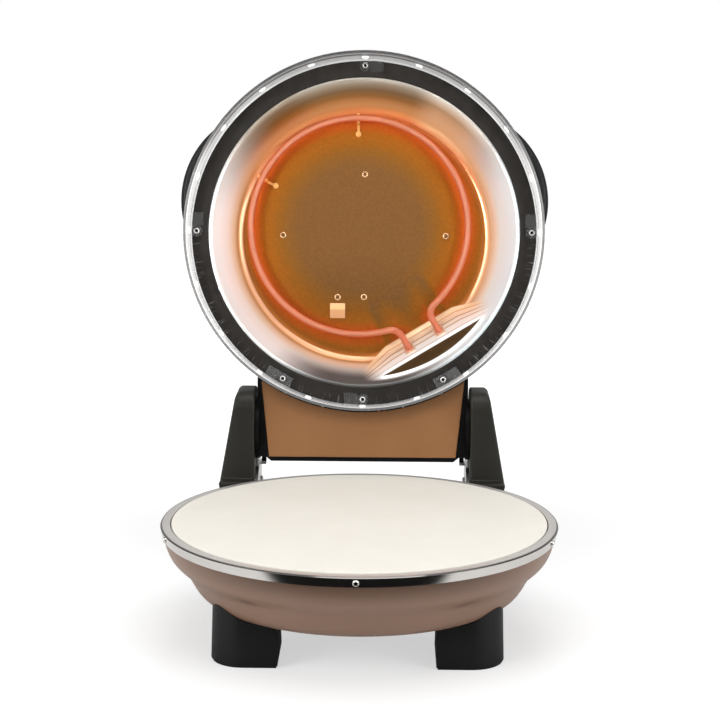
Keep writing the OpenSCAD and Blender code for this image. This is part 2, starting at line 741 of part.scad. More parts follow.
frame_r = ring_r - 6;
frame_in_r = ring_r - 6 - frame_w;
module frame_ring() {
    color(dark_colour) difference() {
        rotate_extrude($fn = 180) polygon([
            [frame_in_r, frame_z + 0.8], [frame_in_r + 0.8, frame_z], [frame_r, frame_z],
            [frame_r, frame_z + frame_t], [frame_r - 0.4, frame_z + frame_t],
            [frame_r - 0.4, frame_z + 12], [frame_r - 1.9, frame_z + 12],
            [frame_r - 1.9, frame_z + frame_t], [frame_in_r, frame_z + frame_t]
        ]);
        turned(guard_screw_angles) translate([guard_screw_r, 0, frame_z - over])
            cylinder(r = 1.6, h = frame_t + 2 * over, $fn = 24);
    }
}

tab_t = 2.4;
module clear_guard() {
    top_r = ring_r - guard_lean;
    tab_z = frame_z - tab_t;
    tab_r = ring_r - 4.6;
    color([0.85, 0.9, 0.92, 0.4]) difference() {
        union() {
            rotate_extrude($fn = 180) polygon([
                [ring_r - guard_t, 0], [ring_r, 0], [ring_r, 2], [top_r, guard_h],
                [top_r - guard_t, guard_h], [ring_r - guard_t - 0.6, 3]
            ]);
            for (i = [0:3]) rotate([0, 0, guard_angles[i]]) {
                side = i == 0 ? -1 : 1;
                translate([guard_screw_r, 0, tab_z]) cylinder(r = 5.4, h = tab_t);
                translate([ring_r - 16.5, side > 0 ? 5 : -17, tab_z]) cube([tab_r - ring_r + 16.5, 12, tab_t]);
                translate([guard_screw_r, -3, tab_z]) cube([tab_r - guard_screw_r, 6, tab_t]);
                translate([guard_screw_r, side > 0 ? 0 : -6, tab_z]) cube([4, 6, tab_t]);
            }
            turned(long_tab_angles) translate([ring_r - 15.4, -12.5, tab_z])
                cube([tab_r - ring_r + 14.4, 25, tab_t]);
            turned(nub_angles) translate([ring_r - guard_lean - guard_t + 0.2, -2.5, guard_h / 2 - 1])
                cube([2, 5, 2]);
        }
        turned(guard_screw_angles) translate([guard_screw_r, 0, tab_z - over])
            cylinder(r = 1.6, h = tab_t + 2 * over, $fn = 24);
    }
}

module guard_screws() {
    color(steel_colour) turned(guard_screw_angles) translate([guard_screw_r, 0, frame_z - tab_t - 0.05])
        rotate([180, 0, 0]) screw(2.9, 1.6, 1.5, 15);
}

// Half profile of the pan's front surface, from the mouth to the floor
pan_mouth_r = frame_in_r - pan_lip - 0.2;
pan_lip_z = frame_z + 0.8;
pan_edge = 6;
function pan_front(g) =
    let(
        wall = [pan_floor_r + g * 0.8, pan_z - pan_edge * 0.7 + g * 0.6],
        foot = [pan_floor_r - pan_edge * 0.55 + g * 0.5, pan_z + g],
        level = [foot[0] - pan_edge * 0.9, pan_z + g]
    )
    concat([[pan_mouth_r + g, pan_lip_z]],
           curve(wall, (wall + foot) / 2, (level + foot) / 2, level, 5), [[0, pan_z + g]]);
// Room inside the pan, moved in by g
module pan_room(g) {
    rotate_extrude($fn = 120) polygon(concat([[0, pan_lip_z - over]],
        [[pan_mouth_r - g, pan_lip_z - over]], pan_front(-g)));
}
flange_z = frame_z + frame_t + 0.2;
// Space beyond the platform's wall, g further from the mouth and the middle
module platform_space(g) {
    half = pan_floor_r - 29;
    low = [platform_r + g * 0.8, pan_z + g * 0.6];
    high = [platform_r + platform_lean + g * 0.6, platform_z + g];
    slope = unit(high - low);
    rotate([90, 0, 90 - platform_turn]) translate([0, 0, -half]) linear_extrude(2 * half) polygon(concat(
        [low + [-5.4, 2]], curve(low + [-3.8, 0.1], low - [1, 0], low + slope, low + 4 * slope, 4),
        curve(high - 4 * slope, high - slope, high + [1, 0], high + [4, 0], 4),
        [[ring_r, high[1]], [ring_r, low[1] + 2]]));
}
upper_ends = [-upper_gap / 2 - 2, upper_gap / 2 - 2];
heater_bush_r = heater_r + 1.2;
module at_upper_ends() {
    rotate([0, 0, -platform_turn]) for (u = upper_ends) translate([u, platform_r, upper_z])
        rotate([-90, 0, 0]) children();
}

module reflector_pan() {
    color(steel_colour) difference() {
        rotate_extrude($fn = 120) polygon(concat(
            [[0, pan_lip_z], [pan_mouth_r + pan_lip, pan_lip_z], [pan_mouth_r + pan_lip, flange_z],
             [frame_in_r + 5, flange_z], [frame_in_r + 5, flange_z + pan_t],
             [pan_mouth_r + pan_lip - pan_t, flange_z + pan_t],
             [pan_mouth_r + pan_lip - pan_t, pan_lip_z + pan_t]],
            [[pan_mouth_r + 0.4, pan_lip_z + pan_t]], tail(pan_front(pan_t))));
        difference() {
            pan_room(0);
            platform_space(0);
        }
        platform_space(pan_t);
        for (p = pan_screw_places) translate([p[0], p[1], pan_z - over])
            cylinder(r = 1.9, h = pan_t + 2 * over, $fn = 24);
        translate([sensor_x, sensor_y - 12.6, pan_z - over]) cylinder(r = 1.6, h = 4, $fn = 24);
        at_upper_ends() cylinder(r = heater_bush_r + 0.1, h = 30);
    }
}

module pan_screws() {
    color(steel_colour) for (p = pan_screw_places) translate([p[0], p[1], pan_z - 0.05])
        rotate([180, 0, 0]) screw(3.4, 1.8, 1.7, 9);
}

// The upper heater's loop opens towards the platform, where two bends turn its ends outwards
upper_end_y = platform_r + 24;
function upper_path() =
    let(
        span = upper_r + upper_bend,
        left_x = upper_ends[0] - upper_bend,
        right_x = upper_ends[1] + upper_bend,
        left_a = asin(-left_x / span),
        right_a = asin(right_x / span),
        left = [left_x, span * cos(left_a) - upper_shift],
        right = [right_x, span * cos(right_a) - upper_shift]
    )
    at_height(concat(
        [[upper_ends[0], upper_end_y]],
        corner(left, upper_bend, 0, left_a - 90),
        tail(corner([0, -upper_shift], upper_r, 90 + left_a, 450 - right_a, 60)),
        tail(corner(right, upper_bend, 270 - right_a, 180)),
        [[upper_ends[1], upper_end_y]]
    ), upper_z);
module upper_heater() {
    color("orangered") rotate([0, 0, -platform_turn]) swept_tube(upper_path(), heater_r, 16);
}

// Clips stand on the pan's floor inside the loop and reach out under the tube. A small plate on the
// platform's wall steadies each of the heater's ends.
module upper_heater_clips() {
    rise = pan_z - upper_z;
    strap_w = 2.2;
    color(steel_colour) for (a = [-91, -154]) {
        way = a + platform_turn;
        rotate([0, 0, -platform_turn]) translate([0, -upper_shift, 0]) rotate([0, 0, way])
            translate([upper_r, 0, upper_z]) {
                translate([-13, -strap_w / 2, rise - 1.2]) cube([13, strap_w, 1.15]);
                translate([-13, 0, rise - 0.05]) rotate([180, 0, 0]) difference() {
                    cylinder(r = 2.6, h = 2.4, $fn = 24);
                    translate([0, 0, 1.6]) cylinder(r = 1.3, h = 2, $fn = 24);
                }
                difference() {
                    union() {
                        translate([-5, -strap_w / 2, -1]) cube([9.5, strap_w, heater_r + 3]);
                        translate([-5, -strap_w / 2, -1]) cube([5, strap_w, rise + 0.4]);
                    }
                    rotate([90, 0, 0]) cylinder(r = clip_r, h = 10, center = true);
                }
            }
    }
    lean = atan((pan_z - platform_z) / platform_lean);
    wall_v = platform_r + platform_lean * (pan_z - upper_z) / (pan_z - platform_z);
    color(steel_colour) intersection() {
        rotate([0, 0, -platform_turn]) for (u = upper_ends) translate([u, wall_v, upper_z]) difference() {
            rotate([-lean, 0, 0]) translate([-4.8, -5.8, -1.1]) cube([9.6, 11.6, 1]);
            rotate([90, 0, 0]) cylinder(r = clip_r, h = 30, center = true);
        }
        pan_room(0.1);
    }
}

module upper_heater_bushes() {
    wall_v = platform_r + platform_lean;
    color(ceramic_colour) {
        intersection() {
            at_upper_ends() tube(heater_bush_r, heater_r, wall_v - platform_r + 1);
            platform_space(0);
        }
        at_upper_ends() translate([0, 0, wall_v - platform_r - 2]) tube(heater_bush_r + 1, heater_r, 3);
    }
}

sensor_x = -24.5;
sensor_y = 70.4;
module sensor_plate() {
    color(steel_colour) {
        translate([sensor_x - 7, sensor_y - 7, pan_z - 1.25]) cube([14, 14, 1.2]);
        translate([sensor_x, sensor_y - 12.6, pan_z - 0.05]) rotate([180, 0, 0]) screw(3, 1.6, 1.5, 6);
    }
}
module thermal_cutout() {
    color("dimgray") translate([sensor_x, sensor_y, pan_z + pan_t + 0.1]) {
        cylinder(r = 8, h = 5);
        translate([-3, -1, 5]) cube([1, 2, 4]);
        translate([3, -1, 5]) cube([1, 2, 4]);
    }
}

// A handle is a flat disc set low on the dome, so that only its edge stands out
handle_z = 28;
module handle() {
    disc_r = 86;
    color(dark_colour) difference() {
        rotate([0, 0, -handle_angle]) translate([ring_r + handle_reach - disc_r, 0, handle_z]) {
            cylinder(r1 = disc_r - 3, r2 = disc_r, h = 3, $fn = 120);
            translate([0, 0, 3]) cylinder(r = disc_r, h = handle_h - 8, $fn = 120);
            translate([0, 0, handle_h - 5]) cylinder(r1 = disc_r, r2 = disc_r - 6, h = 5, $fn = 120);
        }
        dome_solid(0.2);
        turned(handle_screw_angles) translate([ring_r - 20, 0, skirt_screw_z]) rotate([0, 90, 0])
            cylinder(r = skirt_shank_r + 0.05, h = 25, $fn = 24);
    }
}
module handle_left() { mirror([1, 0, 0]) handle(); }
module handle_right() { handle(); }
module handle_screws() {
    color(steel_colour) pair() turned(handle_screw_angles)
        translate([skirt_head_r, 0, skirt_screw_z]) rotate([0, -90, 0])
            screw(3.4, 1.8, skirt_shank_r, 10.5);
}

housing_end = pivot_y + housing_rear;
housing_step = 4;
// The housing is drawn on from well under the dome, whose room is then cut out of it
housing_start = ring_r - 104;
// Plan of the hinge housing, drawn in by g
module housing_plan(g) {
    x = housing_x - g;
    corner_x = housing_x - 8.3 - g * 0.7;
    step_x = corner_x - 5;
    polygon([[-x, housing_start], [x, housing_start], [x, housing_end - g], [corner_x, housing_end - g],
             [step_x, housing_end + housing_step - g], [-step_x, housing_end + housing_step - g],
             [-corner_x, housing_end - g], [-x, housing_end - g]]);
}
module housing_side(g, low) {
    end = housing_end + housing_step - g;
    polygon(concat([[housing_start, low], [end, low]],
                   corner([housing_end + housing_step - 14, housing_top - 14], 14 - g, 0, 90),
                   [[housing_start, housing_top - g]]));
}
module housing_body(g, low) {
    intersection() {
        translate([0, 0, low]) linear_extrude(housing_top - low) housing_plan(g);
        translate([-2 * housing_x, 0, 0]) rotate([90, 0, 90]) linear_extrude(4 * housing_x) housing_side(g, low);
    }
}
// Outline of the brown plate and of its window, moved out by g
module panel_outline(g) {
    slope = 0.11;
    front = pivot_y - 41;
    front_x = panel_x + slope * (housing_end - front);
    polygon([[-panel_x - g, housing_end + g], [panel_x + g, housing_end + g],
             [front_x + g, front], [front_x + g, housing_start],
             [-front_x - g, housing_start], [-front_x - g, front]]);
}
spindle_y = pivot_y + 2;
spindle_r = spindle_d / 2;
lamp_r = 5;
module hinge_housing() {
    color(dark_colour) difference() {
        union() {
            housing_body(0, housing_z);
            pair() translate([housing_x - 2, pivot_y, pivot_z]) rotate([0, 90, 0])
                cylinder(r = 28, h = arm_x - 0.4 - housing_x + 2, $fn = 96);
        }
        lid_room(fit);
        difference() {
            housing_body(housing_t, housing_z + housing_t);
            lid_room(fit + housing_t);
            pair() translate([bush_x0, pivot_y, pivot_z]) rotate([0, 90, 0])
                cylinder(r = bush_r + 3.5, h = 40);
        }
        translate([0, 0, housing_z - over]) linear_extrude(housing_t + 2 * over) panel_outline(fit);
        pair() translate([bush_x0 - over, pivot_y, pivot_z]) rotate([0, 90, 0])
            cylinder(r = bush_r, h = bush_len + 2 * over);
        pair() translate([knob_x, spindle_y, housing_top - 6]) cylinder(r = 5.2, h = 10);
        translate([0, spindle_y, housing_top - 6]) cylinder(r = lamp_r + 0.1, h = 10);
        turned(housing_screw_angles) translate([0, ring_r - 20, skirt_screw_z]) rotate([-90, 0, 0])
            cylinder(r = skirt_shank_r + 0.05, h = 30, $fn = 24);
        turned([lead_angle]) translate([0, ring_r - 7, skirt_screw_z]) rotate([-90, 0, 0])
            cylinder(r = lead_hole_r, h = 20);
    }
}
module housing_screws() {
    color(steel_colour) turned(housing_screw_angles)
        translate([0, skirt_head_r, skirt_screw_z]) rotate([90, 0, 0])
            screw(3.4, 1.8, skirt_shank_r, 9);
}

module housing_panel() {
    lug_z = housing_z + housing_t + 0.2;
    lug_end = housing_end + housing_step - housing_t - 0.1;
    color([0.64, 0.46, 0.31]) difference() {
        union() {
            translate([0, 0, housing_z]) linear_extrude(housing_t + 0.2) panel_outline(0);
            for (x = [-60, 60]) translate([x - 5, lug_end - 8, lug_z - 0.1]) cube([10, 8, 2]);
            pair() translate([panel_x - 6, housing_end - 30, lug_z - 0.1]) cube([10.5, 8, 2]);
        }
        lid_room(fit + 0.4);
    }
}

module pivot_bush() {
    color("tan") translate([bush_x0, pivot_y, pivot_z]) rotate([0, 90, 0])
        tube(bush_r, pin_d / 2 + pin_play, bush_len);
}
module pivot_bush_left() { mirror([1, 0, 0]) pivot_bush(); }
module pivot_bush_right() { pivot_bush(); }

control_z = housing_top - housing_t - 0.2;
module spindle_bush() {
    translate([0, 0, -2]) tube(5, spindle_r + spindle_play, housing_t + 1.8);
}
module thermostat() {
    color("dimgray") translate([knob_x, spindle_y, control_z]) {
        difference() {
            translate([0, 0, -20]) cylinder(r = 16, h = 20);
            translate([0, 0, -16]) cylinder(r = spindle_r + spindle_play, h = 20);
        }
        spindle_bush();
        for (x = [-9, 0, 9]) translate([x - 2.5, -0.5, -26]) cube([5, 1, 6.5]);
    }
}
module timer() {
    color("dimgray") translate([-knob_x, spindle_y, control_z]) {
        difference() {
            translate([-17, -15, -18]) cube([34, 30, 18]);
            translate([0, 0, -16]) cylinder(r = spindle_r + spindle_play, h = 20);
        }
        spindle_bush();
        for (x = [-9, 9]) translate([x - 2.5, -0.5, -24]) cube([5, 1, 6.5]);
    }
}

module pilot_lamp() {
    color([0.85, 0.15, 0.1]) translate([0, spindle_y, housing_top]) {
        translate([0, 0, -16]) cylinder(r = lamp_r, h = 16);
        cylinder(r = lamp_r + 2, h = 1);
        translate([0, 0, 1]) cylinder(r1 = lamp_r, r2 = lamp_r - 1.5, h = 2);
    }
}

// Knob with a skirt, a grip bar and a bore for its spindle
knob_z = housing_top + 1;
module knob(x) {
    color(dark_colour) translate([x, spindle_y, knob_z]) difference() {
        union() {
            cylinder(r = knob_d / 2, h = 3, $fn = 96);
            translate([0, 0, 3]) cylinder(r1 = knob_d / 2 - 1, r2 = knob_d / 2 - 3, h = knob_h - 9, $fn = 96);
            translate([-4, -knob_d / 2 + 3.5, 3]) cube([8, knob_d - 7, knob_h - 3]);
        }
        translate([0, 0, -over]) cylinder(r = spindle_r, h = knob_h - 3 + over);
    }
}
module spindle(x) {
    color(steel_colour) translate([x, spindle_y, control_z - 12])
        cylinder(r = spindle_r, h = knob_z - control_z + 12 + knob_h - 3.5);
}
module thermostat_knob() { knob(knob_x); }
module thermostat_spindle() { spindle(knob_x); }
module timer_knob() { knob(-knob_x); }
module timer_spindle() { spindle(-knob_x); }

lid_block_z = housing_z + housing_t + 4;
module lid_terminals() {
    color(ceramic_colour) difference() {
        translate([-20, pivot_y - 10, lid_block_z]) cube([40, 16, 12]);
        for (x = [-15, -5, 5, 15]) translate([x, pivot_y - 2, lid_block_z + 5]) cylinder(r = 1.8, h = 8);
    }
}
// Leads from the upper heater's ends through the dome's rear hole to the terminals
function lead_start(i, run) =
    let(u = upper_ends[i], v = upper_end_y + run)
    [u * cos(platform_turn) + v * sin(platform_turn),
     v * cos(platform_turn) - u * sin(platform_turn), upper_z];
module lid_wiring() {
    hole_x = ring_r * sin(-lead_angle);
    low = skirt_screw_z - 2;
    color("firebrick") {
        swept_tube([lead_start(0, 0.1), lead_start(0, 5), [30, ring_r - 23, upper_z],
                    [hole_x - 2.5, ring_r - 14, low], [hole_x - 2.5, pivot_y - 10.1, low]], wire_r, 8);
        swept_tube([lead_start(1, 0.1), lead_start(1, 5), [50, ring_r - 36, upper_z + 4],
                    [32, ring_r - 18, upper_z], [hole_x + 2.5, ring_r - 12, low],
                    [hole_x + 2.5, pivot_y - 10.1, low]], wire_r, 8);
    }
}

base_bowl();
rim_ring();
rim_screws();
baking_stone();
lower_reflector();
reflector_posts();
lower_heater();
lower_heater_clips();
lower_heater_bushes();
bottom_cover();
cover_screws();
foot_front_left();
foot_front_right();
foot_rear_left();
foot_rear_right();
foot_soles();
foot_screws();
rear_saddle();
saddle_screws();
bracket_plate_left();
bracket_plate_right();
stop_buffers();
hinge_arm_left();
hinge_arm_right();
arm_screws();
hinge_pin_left();
hinge_pin_right();
terminal_block();
cord_gland();
base_wiring();
opened() lid_dome();
opened() frame_ring();
opened() clear_guard();
opened() guard_screws();
opened() reflector_pan();
opened() pan_screws();
opened() upper_heater();
opened() upper_heater_clips();
opened() upper_heater_bushes();
opened() sensor_plate();
opened() thermal_cutout();
opened() handle_left();
opened() handle_right();
opened() handle_screws();
opened() hinge_housing();
opened() housing_screws();
opened() housing_panel();
opened() pivot_bush_left();
opened() pivot_bush_right();
opened() thermostat();
opened() timer();
opened() pilot_lamp();
opened() lid_terminals();
opened() lid_wiring();
opened() thermostat_knob();
opened() thermostat_spindle();
opened() timer_knob();
opened() timer_spindle();
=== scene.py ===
import json
import math

import bpy
from mathutils import Matrix, Quaternion, Vector


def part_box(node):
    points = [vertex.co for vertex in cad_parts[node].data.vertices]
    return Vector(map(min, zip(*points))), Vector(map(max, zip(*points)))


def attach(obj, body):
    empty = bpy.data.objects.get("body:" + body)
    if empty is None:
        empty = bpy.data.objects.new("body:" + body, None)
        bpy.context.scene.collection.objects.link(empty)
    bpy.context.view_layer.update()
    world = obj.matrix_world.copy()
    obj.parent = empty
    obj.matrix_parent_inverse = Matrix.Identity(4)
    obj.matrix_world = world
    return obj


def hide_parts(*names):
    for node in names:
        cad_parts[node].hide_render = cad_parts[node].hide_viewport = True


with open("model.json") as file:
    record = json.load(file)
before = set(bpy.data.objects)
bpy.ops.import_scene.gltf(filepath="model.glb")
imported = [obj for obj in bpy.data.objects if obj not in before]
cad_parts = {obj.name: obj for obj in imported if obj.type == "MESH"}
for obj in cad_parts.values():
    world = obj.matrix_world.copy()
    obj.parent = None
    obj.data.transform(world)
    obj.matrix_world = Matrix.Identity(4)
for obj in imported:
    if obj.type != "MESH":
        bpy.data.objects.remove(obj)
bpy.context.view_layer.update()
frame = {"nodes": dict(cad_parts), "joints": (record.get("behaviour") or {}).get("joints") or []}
nodes = frame["nodes"]

# Studio. A pale table under the cooker, a white room round it, and soft boxes at its sides and
# above it. A dark cloth lies on the table in front and shows in reflections only.
eye = Vector((0.0215, -1.4485, 0.3882))
aim = Vector((-0.0001, 0, 0.1334))
roll = math.radians(0.29)
bpy.ops.object.camera_add(location=eye)
camera = bpy.context.object
camera.rotation_mode = "QUATERNION"
camera.rotation_quaternion = (aim - eye).to_track_quat("-Z", "Y") @ Quaternion((0, 0, 1), roll)
camera.data.lens = 90.18
camera.data.sensor_width = 36
camera.data.clip_start = 0.05
bpy.context.scene.camera = camera
bpy.context.scene.view_settings.view_transform = "Standard"


class Shade:
    """A socket of a material. Sums written on it become the material's nodes."""

    def __init__(self, tree, socket):
        self.tree, self.socket = tree, socket

    def node(self, kind, settings, sockets, out=0):
        """Adds a node: its settings first, then the values or links of its sockets."""
        made = self.tree.nodes.new(kind)
        for name, value in settings.items():
            if name == "stops":
                while len(made.color_ramp.elements) < len(value):
                    made.color_ramp.elements.new(1)
                for stop, (at, colour) in zip(made.color_ramp.elements, value):
                    stop.position, stop.color = at, (*colour, 1)
            else:
                setattr(made, name, value)
        for name, value in sockets.items():
            if isinstance(value, Shade):
                self.tree.links.new(made.inputs[name], value.socket)
            else:
                made.inputs[name].default_value = value
        return Shade(self.tree, made.outputs[out])

    def sum(self, operation, *values):
        return self.node("ShaderNodeMath", {"operation": operation}, dict(enumerate(values)))

    def __add__(self, other):
        return self.sum("ADD", self, other)

    __radd__ = __add__

    def __sub__(self, other):
        return self.sum("SUBTRACT", self, other)

    def __rsub__(self, other):
        return self.sum("SUBTRACT", other, self)

    def __mul__(self, other):
        return self.sum("MULTIPLY", self, other)

    __rmul__ = __mul__

    def __truediv__(self, other):
        return self.sum("DIVIDE", self, other)

    def __pow__(self, other):
        return self.sum("POWER", self, other)

    def __abs__(self):
        return self.sum("ABSOLUTE", self)

    def __neg__(self):
        return 0 - self

    def least(self, other):
        return self.sum("MINIMUM", self, other)

    def most(self, other):
        return self.sum("MAXIMUM", self, other)

    def sine(self):
        return self.sum("SINE", self)

    def turn_of(self, across):
        """The angle of a place, from the x axis. This is its y, and across is its x."""
        return self.sum("ARCTAN2", self, across)

    def step(self, low, high):
        """0 below low and 1 above high, with a soft step between them."""
        return self.node("ShaderNodeMapRange", {"interpolation_type": "SMOOTHSTEP"},
                         {0: self, 1: low, 2: high, 3: 0, 4: 1})

    def tints(self, *stops):
        """A colour that runs through the stops, as (value, colour) pairs."""
        low, high = stops[0][0], stops[-1][0]
        place = self.node("ShaderNodeMapRange", {}, {0: self, 1: low, 2: high, 3: 0, 4: 1})
        stops = [((at - low) / (high - low), colour) for at, colour in stops]
        return place.node("ShaderNodeValToRGB", {"stops": stops}, {0: place})

    def between(self, first, second):
        """The mix of two colours at this share of the second."""
        def paint(value):
            return value if isinstance(value, Shade) else (*value, 1)
        return self.node("ShaderNodeMix", {"data_type": "RGBA"},
                         {0: self, 6: paint(first), 7: paint(second)}, 2)

    def parts(self):
        """The x, y and z of a vector."""
        x = self.node("ShaderNodeSeparateXYZ", {}, {0: self})
        return x, *(Shade(self.tree, x.socket.node.outputs[i]) for i in (1, 2))

    def vector(self, x, y, z):
        return self.node("ShaderNodeCombineXYZ", {}, {0: x, 1: y, 2: z})

    def grain(self, size, detail=2, rough=0.5):
        """Noise from 0 to 1 with lumps of about this size, read at this vector."""
        return self.node("ShaderNodeTexNoise", {},
                         {"Vector": self, "Scale": 1 / size, "Detail": detail, "Roughness": rough})


def rgb(red, green, blue):
    """A colour given as a picture shows it, in 0 to 255, as light."""
    return tuple(v / 12.92 / 255 if v < 10.3 else ((v / 255 + 0.055) / 1.055) ** 2.4
                 for v in (red, green, blue))


def grey(light):
    """A grey of this much light, from 0 to 1."""
    return (light, light, light)


def finish(name, colour, **surface):
    """A new finish: its material, its surface and the place of each point on the cooker."""
    material = bpy.data.materials.new(name)
    material.use_nodes = True
    tree = material.node_tree
    body = tree.nodes["Principled BSDF"]
    body.inputs["Base Color"].default_value = (*colour, 1)
    for socket, value in surface.items():
        body.inputs[socket.replace("_", " ")].default_value = value
    return material, body, Shade(tree, tree.nodes.new("ShaderNodeTexCoord").outputs["Object"])


def feed(body, **sockets):
    """Links what varies over a surface to its sockets."""
    for socket, value in sockets.items():
        value.tree.links.new(body.inputs[socket.replace("_", " ")], value.socket)


def relief(height, depth):
    """The normal of a surface whose fine relief is this deep, in metres."""
    return height.node("ShaderNodeBump", {}, {"Strength": 1, "Distance": depth, "Height": height})


def dress(material, *names):
    """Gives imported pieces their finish."""
    for name in names:
        for slot in nodes[name].material_slots:
            slot.material = material


table_size, table_z = 40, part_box("foot_soles")[0].z
cloth_x, cloth_half_w, cloth_back, cloth_front = 0.03, 0.55, -0.2, -1.9
near_r, far_r, near_glow, more_glow = 0.35, 1.1, 0.56, 0.35
table_paint, table_top, place = finish("studio_table", grey(0.9), Roughness=0.9, Specular_IOR_Level=0)
light_path = table_paint.node_tree.nodes.new("ShaderNodeLightPath").outputs
seen = Shade(place.tree, light_path["Is Camera Ray"])
mirrored = Shade(place.tree, light_path["Is Glossy Ray"])
x, y, z = place.parts()
cloth = (cloth_half_w - abs(x - cloth_x)).step(0, 0.03) * (cloth_back - y).step(0, 0.02)
cloth = cloth * (y - cloth_front).step(0, 0.3)
feed(table_top, Base_Color=(mirrored * cloth).between(seen.between(grey(0.9), grey(0.5)), grey(0.01)))
far = ((x * x + y * y) ** 0.5).step(near_r, far_r)
table_top.inputs["Emission Color"].default_value = (1, 1, 1, 1)
feed(table_top, Emission_Strength=seen * (far * more_glow + near_glow))
bpy.ops.mesh.primitive_plane_add(size=table_size, location=(0, 0, table_z))
table = bpy.context.object
table.name = "table"
table.data.materials.append(table_paint)

# What polished steel mirrors is darker ahead, above and behind than at the sides.
white, pale_room, dark_room, plain_room = grey(1), grey(0.97), grey(0.03), grey(0.27)
world = bpy.data.worlds.new("studio")
bpy.context.scene.world = world
world.use_nodes = True
air = world.node_tree
rays = air.nodes.new("ShaderNodeLightPath").outputs
seen = Shade(air, rays["Is Camera Ray"]).most(Shade(air, rays["Is Transmission Ray"]))
mirrored = Shade(air, rays["Is Glossy Ray"])
x, y, z = Shade(air, air.nodes.new("ShaderNodeTexCoord").outputs["Generated"]).parts()
ahead = (-0.6 - y).step(0, 0.2) * (0.5 - abs(x)).step(0, 0.2) * (z + 0.1).step(0, 0.1)
above = (z - 0.35).step(0, 0.25) * (0.6 - abs(x)).step(0, 0.2) * (-y).step(0, 0.3)
behind = y.step(0, 0.3)
dim = ahead.most(above * 0.55).most(behind * 0.65) * 0.75
room = mirrored.between(plain_room, dim.between(pale_room, dark_room))
feed(air.nodes["Background"], Color=seen.between(room, white))

# Each soft box: its place, what it is aimed at, its width, its power and its spread in degrees.
cooker_middle, lid_middle = (0, 0.05, 0.12), (0, 0.22, 0.26)
soft_boxes = {
    "left_box": ((-1.3, -1.0, 0.75), cooker_middle, 1.0, 15, 180),
    "right_box": ((1.4, -0.9, 0.6), cooker_middle, 1.0, 11, 180),
    "top_box": ((0.1, -0.4, 1.6), cooker_middle, 1.2, 13, 180),
    "back_box": ((0.1, 1.3, 2.1), (0, 0.2, 0.2), 1.0, 14, 180),
    "lid_box_left": ((-0.85, -1.05, 0.45), lid_middle, 0.3, 0.13, 15),
    "lid_box_right": ((0.85, -1.05, 0.45), lid_middle, 0.3, 0.13, 15),
}
for name, (spot, target, width, power, spread) in soft_boxes.items():
    bpy.ops.object.light_add(type="AREA", location=spot)
    lamp = bpy.context.object
    lamp.name = name
    lamp.data.energy = power
    lamp.data.size = width
    lamp.data.spread = math.radians(spread)
    lamp.rotation_euler = (Vector(target) - lamp.location).to_track_quat("-Z", "Y").to_euler()

# Base bowl. A deep-drawn steel bowl with a drawn-in waist, sprayed in a satin taupe enamel and
# baked. The lid's dome is pressed from the same sheet and gets the same coat.
mark_x, mark_z, mark_half_w, mark_half_h = 0.083, -0.0343, 0.014, 0.0026
shade_z, shade_h = -0.030, 0.021
enamel, body, place = finish("satin_taupe_enamel", rgb(132, 102, 84), Roughness=0.4, Specular_IOR_Level=0.5)
cloud = place.grain(0.07, 3)
speck = place.grain(0.0011, 2, 0.7)
x, y, z = place.parts()
coat = (cloud * 0.7 + speck * 0.3).between(rgb(126, 97, 79), rgb(138, 108, 90))

# A painted shadow of the ring darkens the front of the bowl just under it, and two short dark
# smudges are painted there.
ring_shadow_paint = (z - shade_z).step(0, shade_h) * (-y).step(0.06, 0.15) * (-z).step(0, 0.008)
coat = (ring_shadow_paint * 0.62).between(coat, rgb(60, 40, 28))
mark_across = (abs(x) - mark_x + (y + 0.12) * 0.3) / mark_half_w
mark_up = (z - mark_z - (abs(x) - mark_x) * 0.1) / mark_half_h
dark_smudge = (1 - mark_across ** 2 - mark_up ** 2).step(0, 0.9) * (-0.09 - y).step(0, 0.01)
feed(body, Base_Color=(dark_smudge * 0.5).between(coat, rgb(86, 64, 55)), Roughness=0.34 + cloud * 0.12,
     Normal=relief(place.grain(0.0016, 3), 0.00006))

weld = 1e-6
smooth_below, round_above, flat_below = math.radians(35), math.radians(40), math.radians(1)


def alone(made):
    """Selects this object only."""
    bpy.ops.object.select_all(action="DESELECT")
    made.select_set(True)
    bpy.context.view_layer.objects.active = made


def fitted(made, material, slot, body, *replaced):
    """Dresses a new piece and lets it ride in place of imported ones."""
    made.data.materials.clear()
    made.data.materials.append(material)
    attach(made, body)
    if replaced:
        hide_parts(*replaced)


def smoothed(name, node, edge=0):
    """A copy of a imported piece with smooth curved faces, and its sharp edges rounded by edge."""
    made = bpy.data.objects.new(name, nodes[node].data.copy())
    bpy.context.collection.objects.link(made)
    alone(made)
    bpy.ops.mesh.customdata_custom_splitnormals_clear()
    bpy.ops.object.mode_set(mode="EDIT")
    bpy.ops.mesh.select_all(action="SELECT")
    bpy.ops.mesh.remove_doubles(threshold=weld)
    if edge:
        bpy.ops.mesh.dissolve_limited(angle_limit=flat_below)
        bpy.ops.object.mode_set(mode="OBJECT")
        rounding = made.modifiers.new("rounding", "BEVEL")
        rounding.width, rounding.segments, rounding.use_clamp_overlap = edge, 3, False
        rounding.limit_method, rounding.angle_limit = "ANGLE", round_above
        bpy.ops.object.modifier_apply(modifier=rounding.name)
        bpy.ops.object.mode_set(mode="EDIT")
        bpy.ops.mesh.select_all(action="SELECT")
        bpy.ops.mesh.remove_doubles(threshold=weld)
    bpy.ops.object.mode_set(mode="OBJECT")
    bpy.ops.object.shade_smooth_by_angle(angle=smooth_below)
    return made


fitted(smoothed("drawn_bowl", "base_bowl"), enamel, "bowl_paint", "base", "base_bowl")
fitted(smoothed("pressed_dome", "lid_dome"), enamel, "bowl_paint", "lid", "lid_dome")

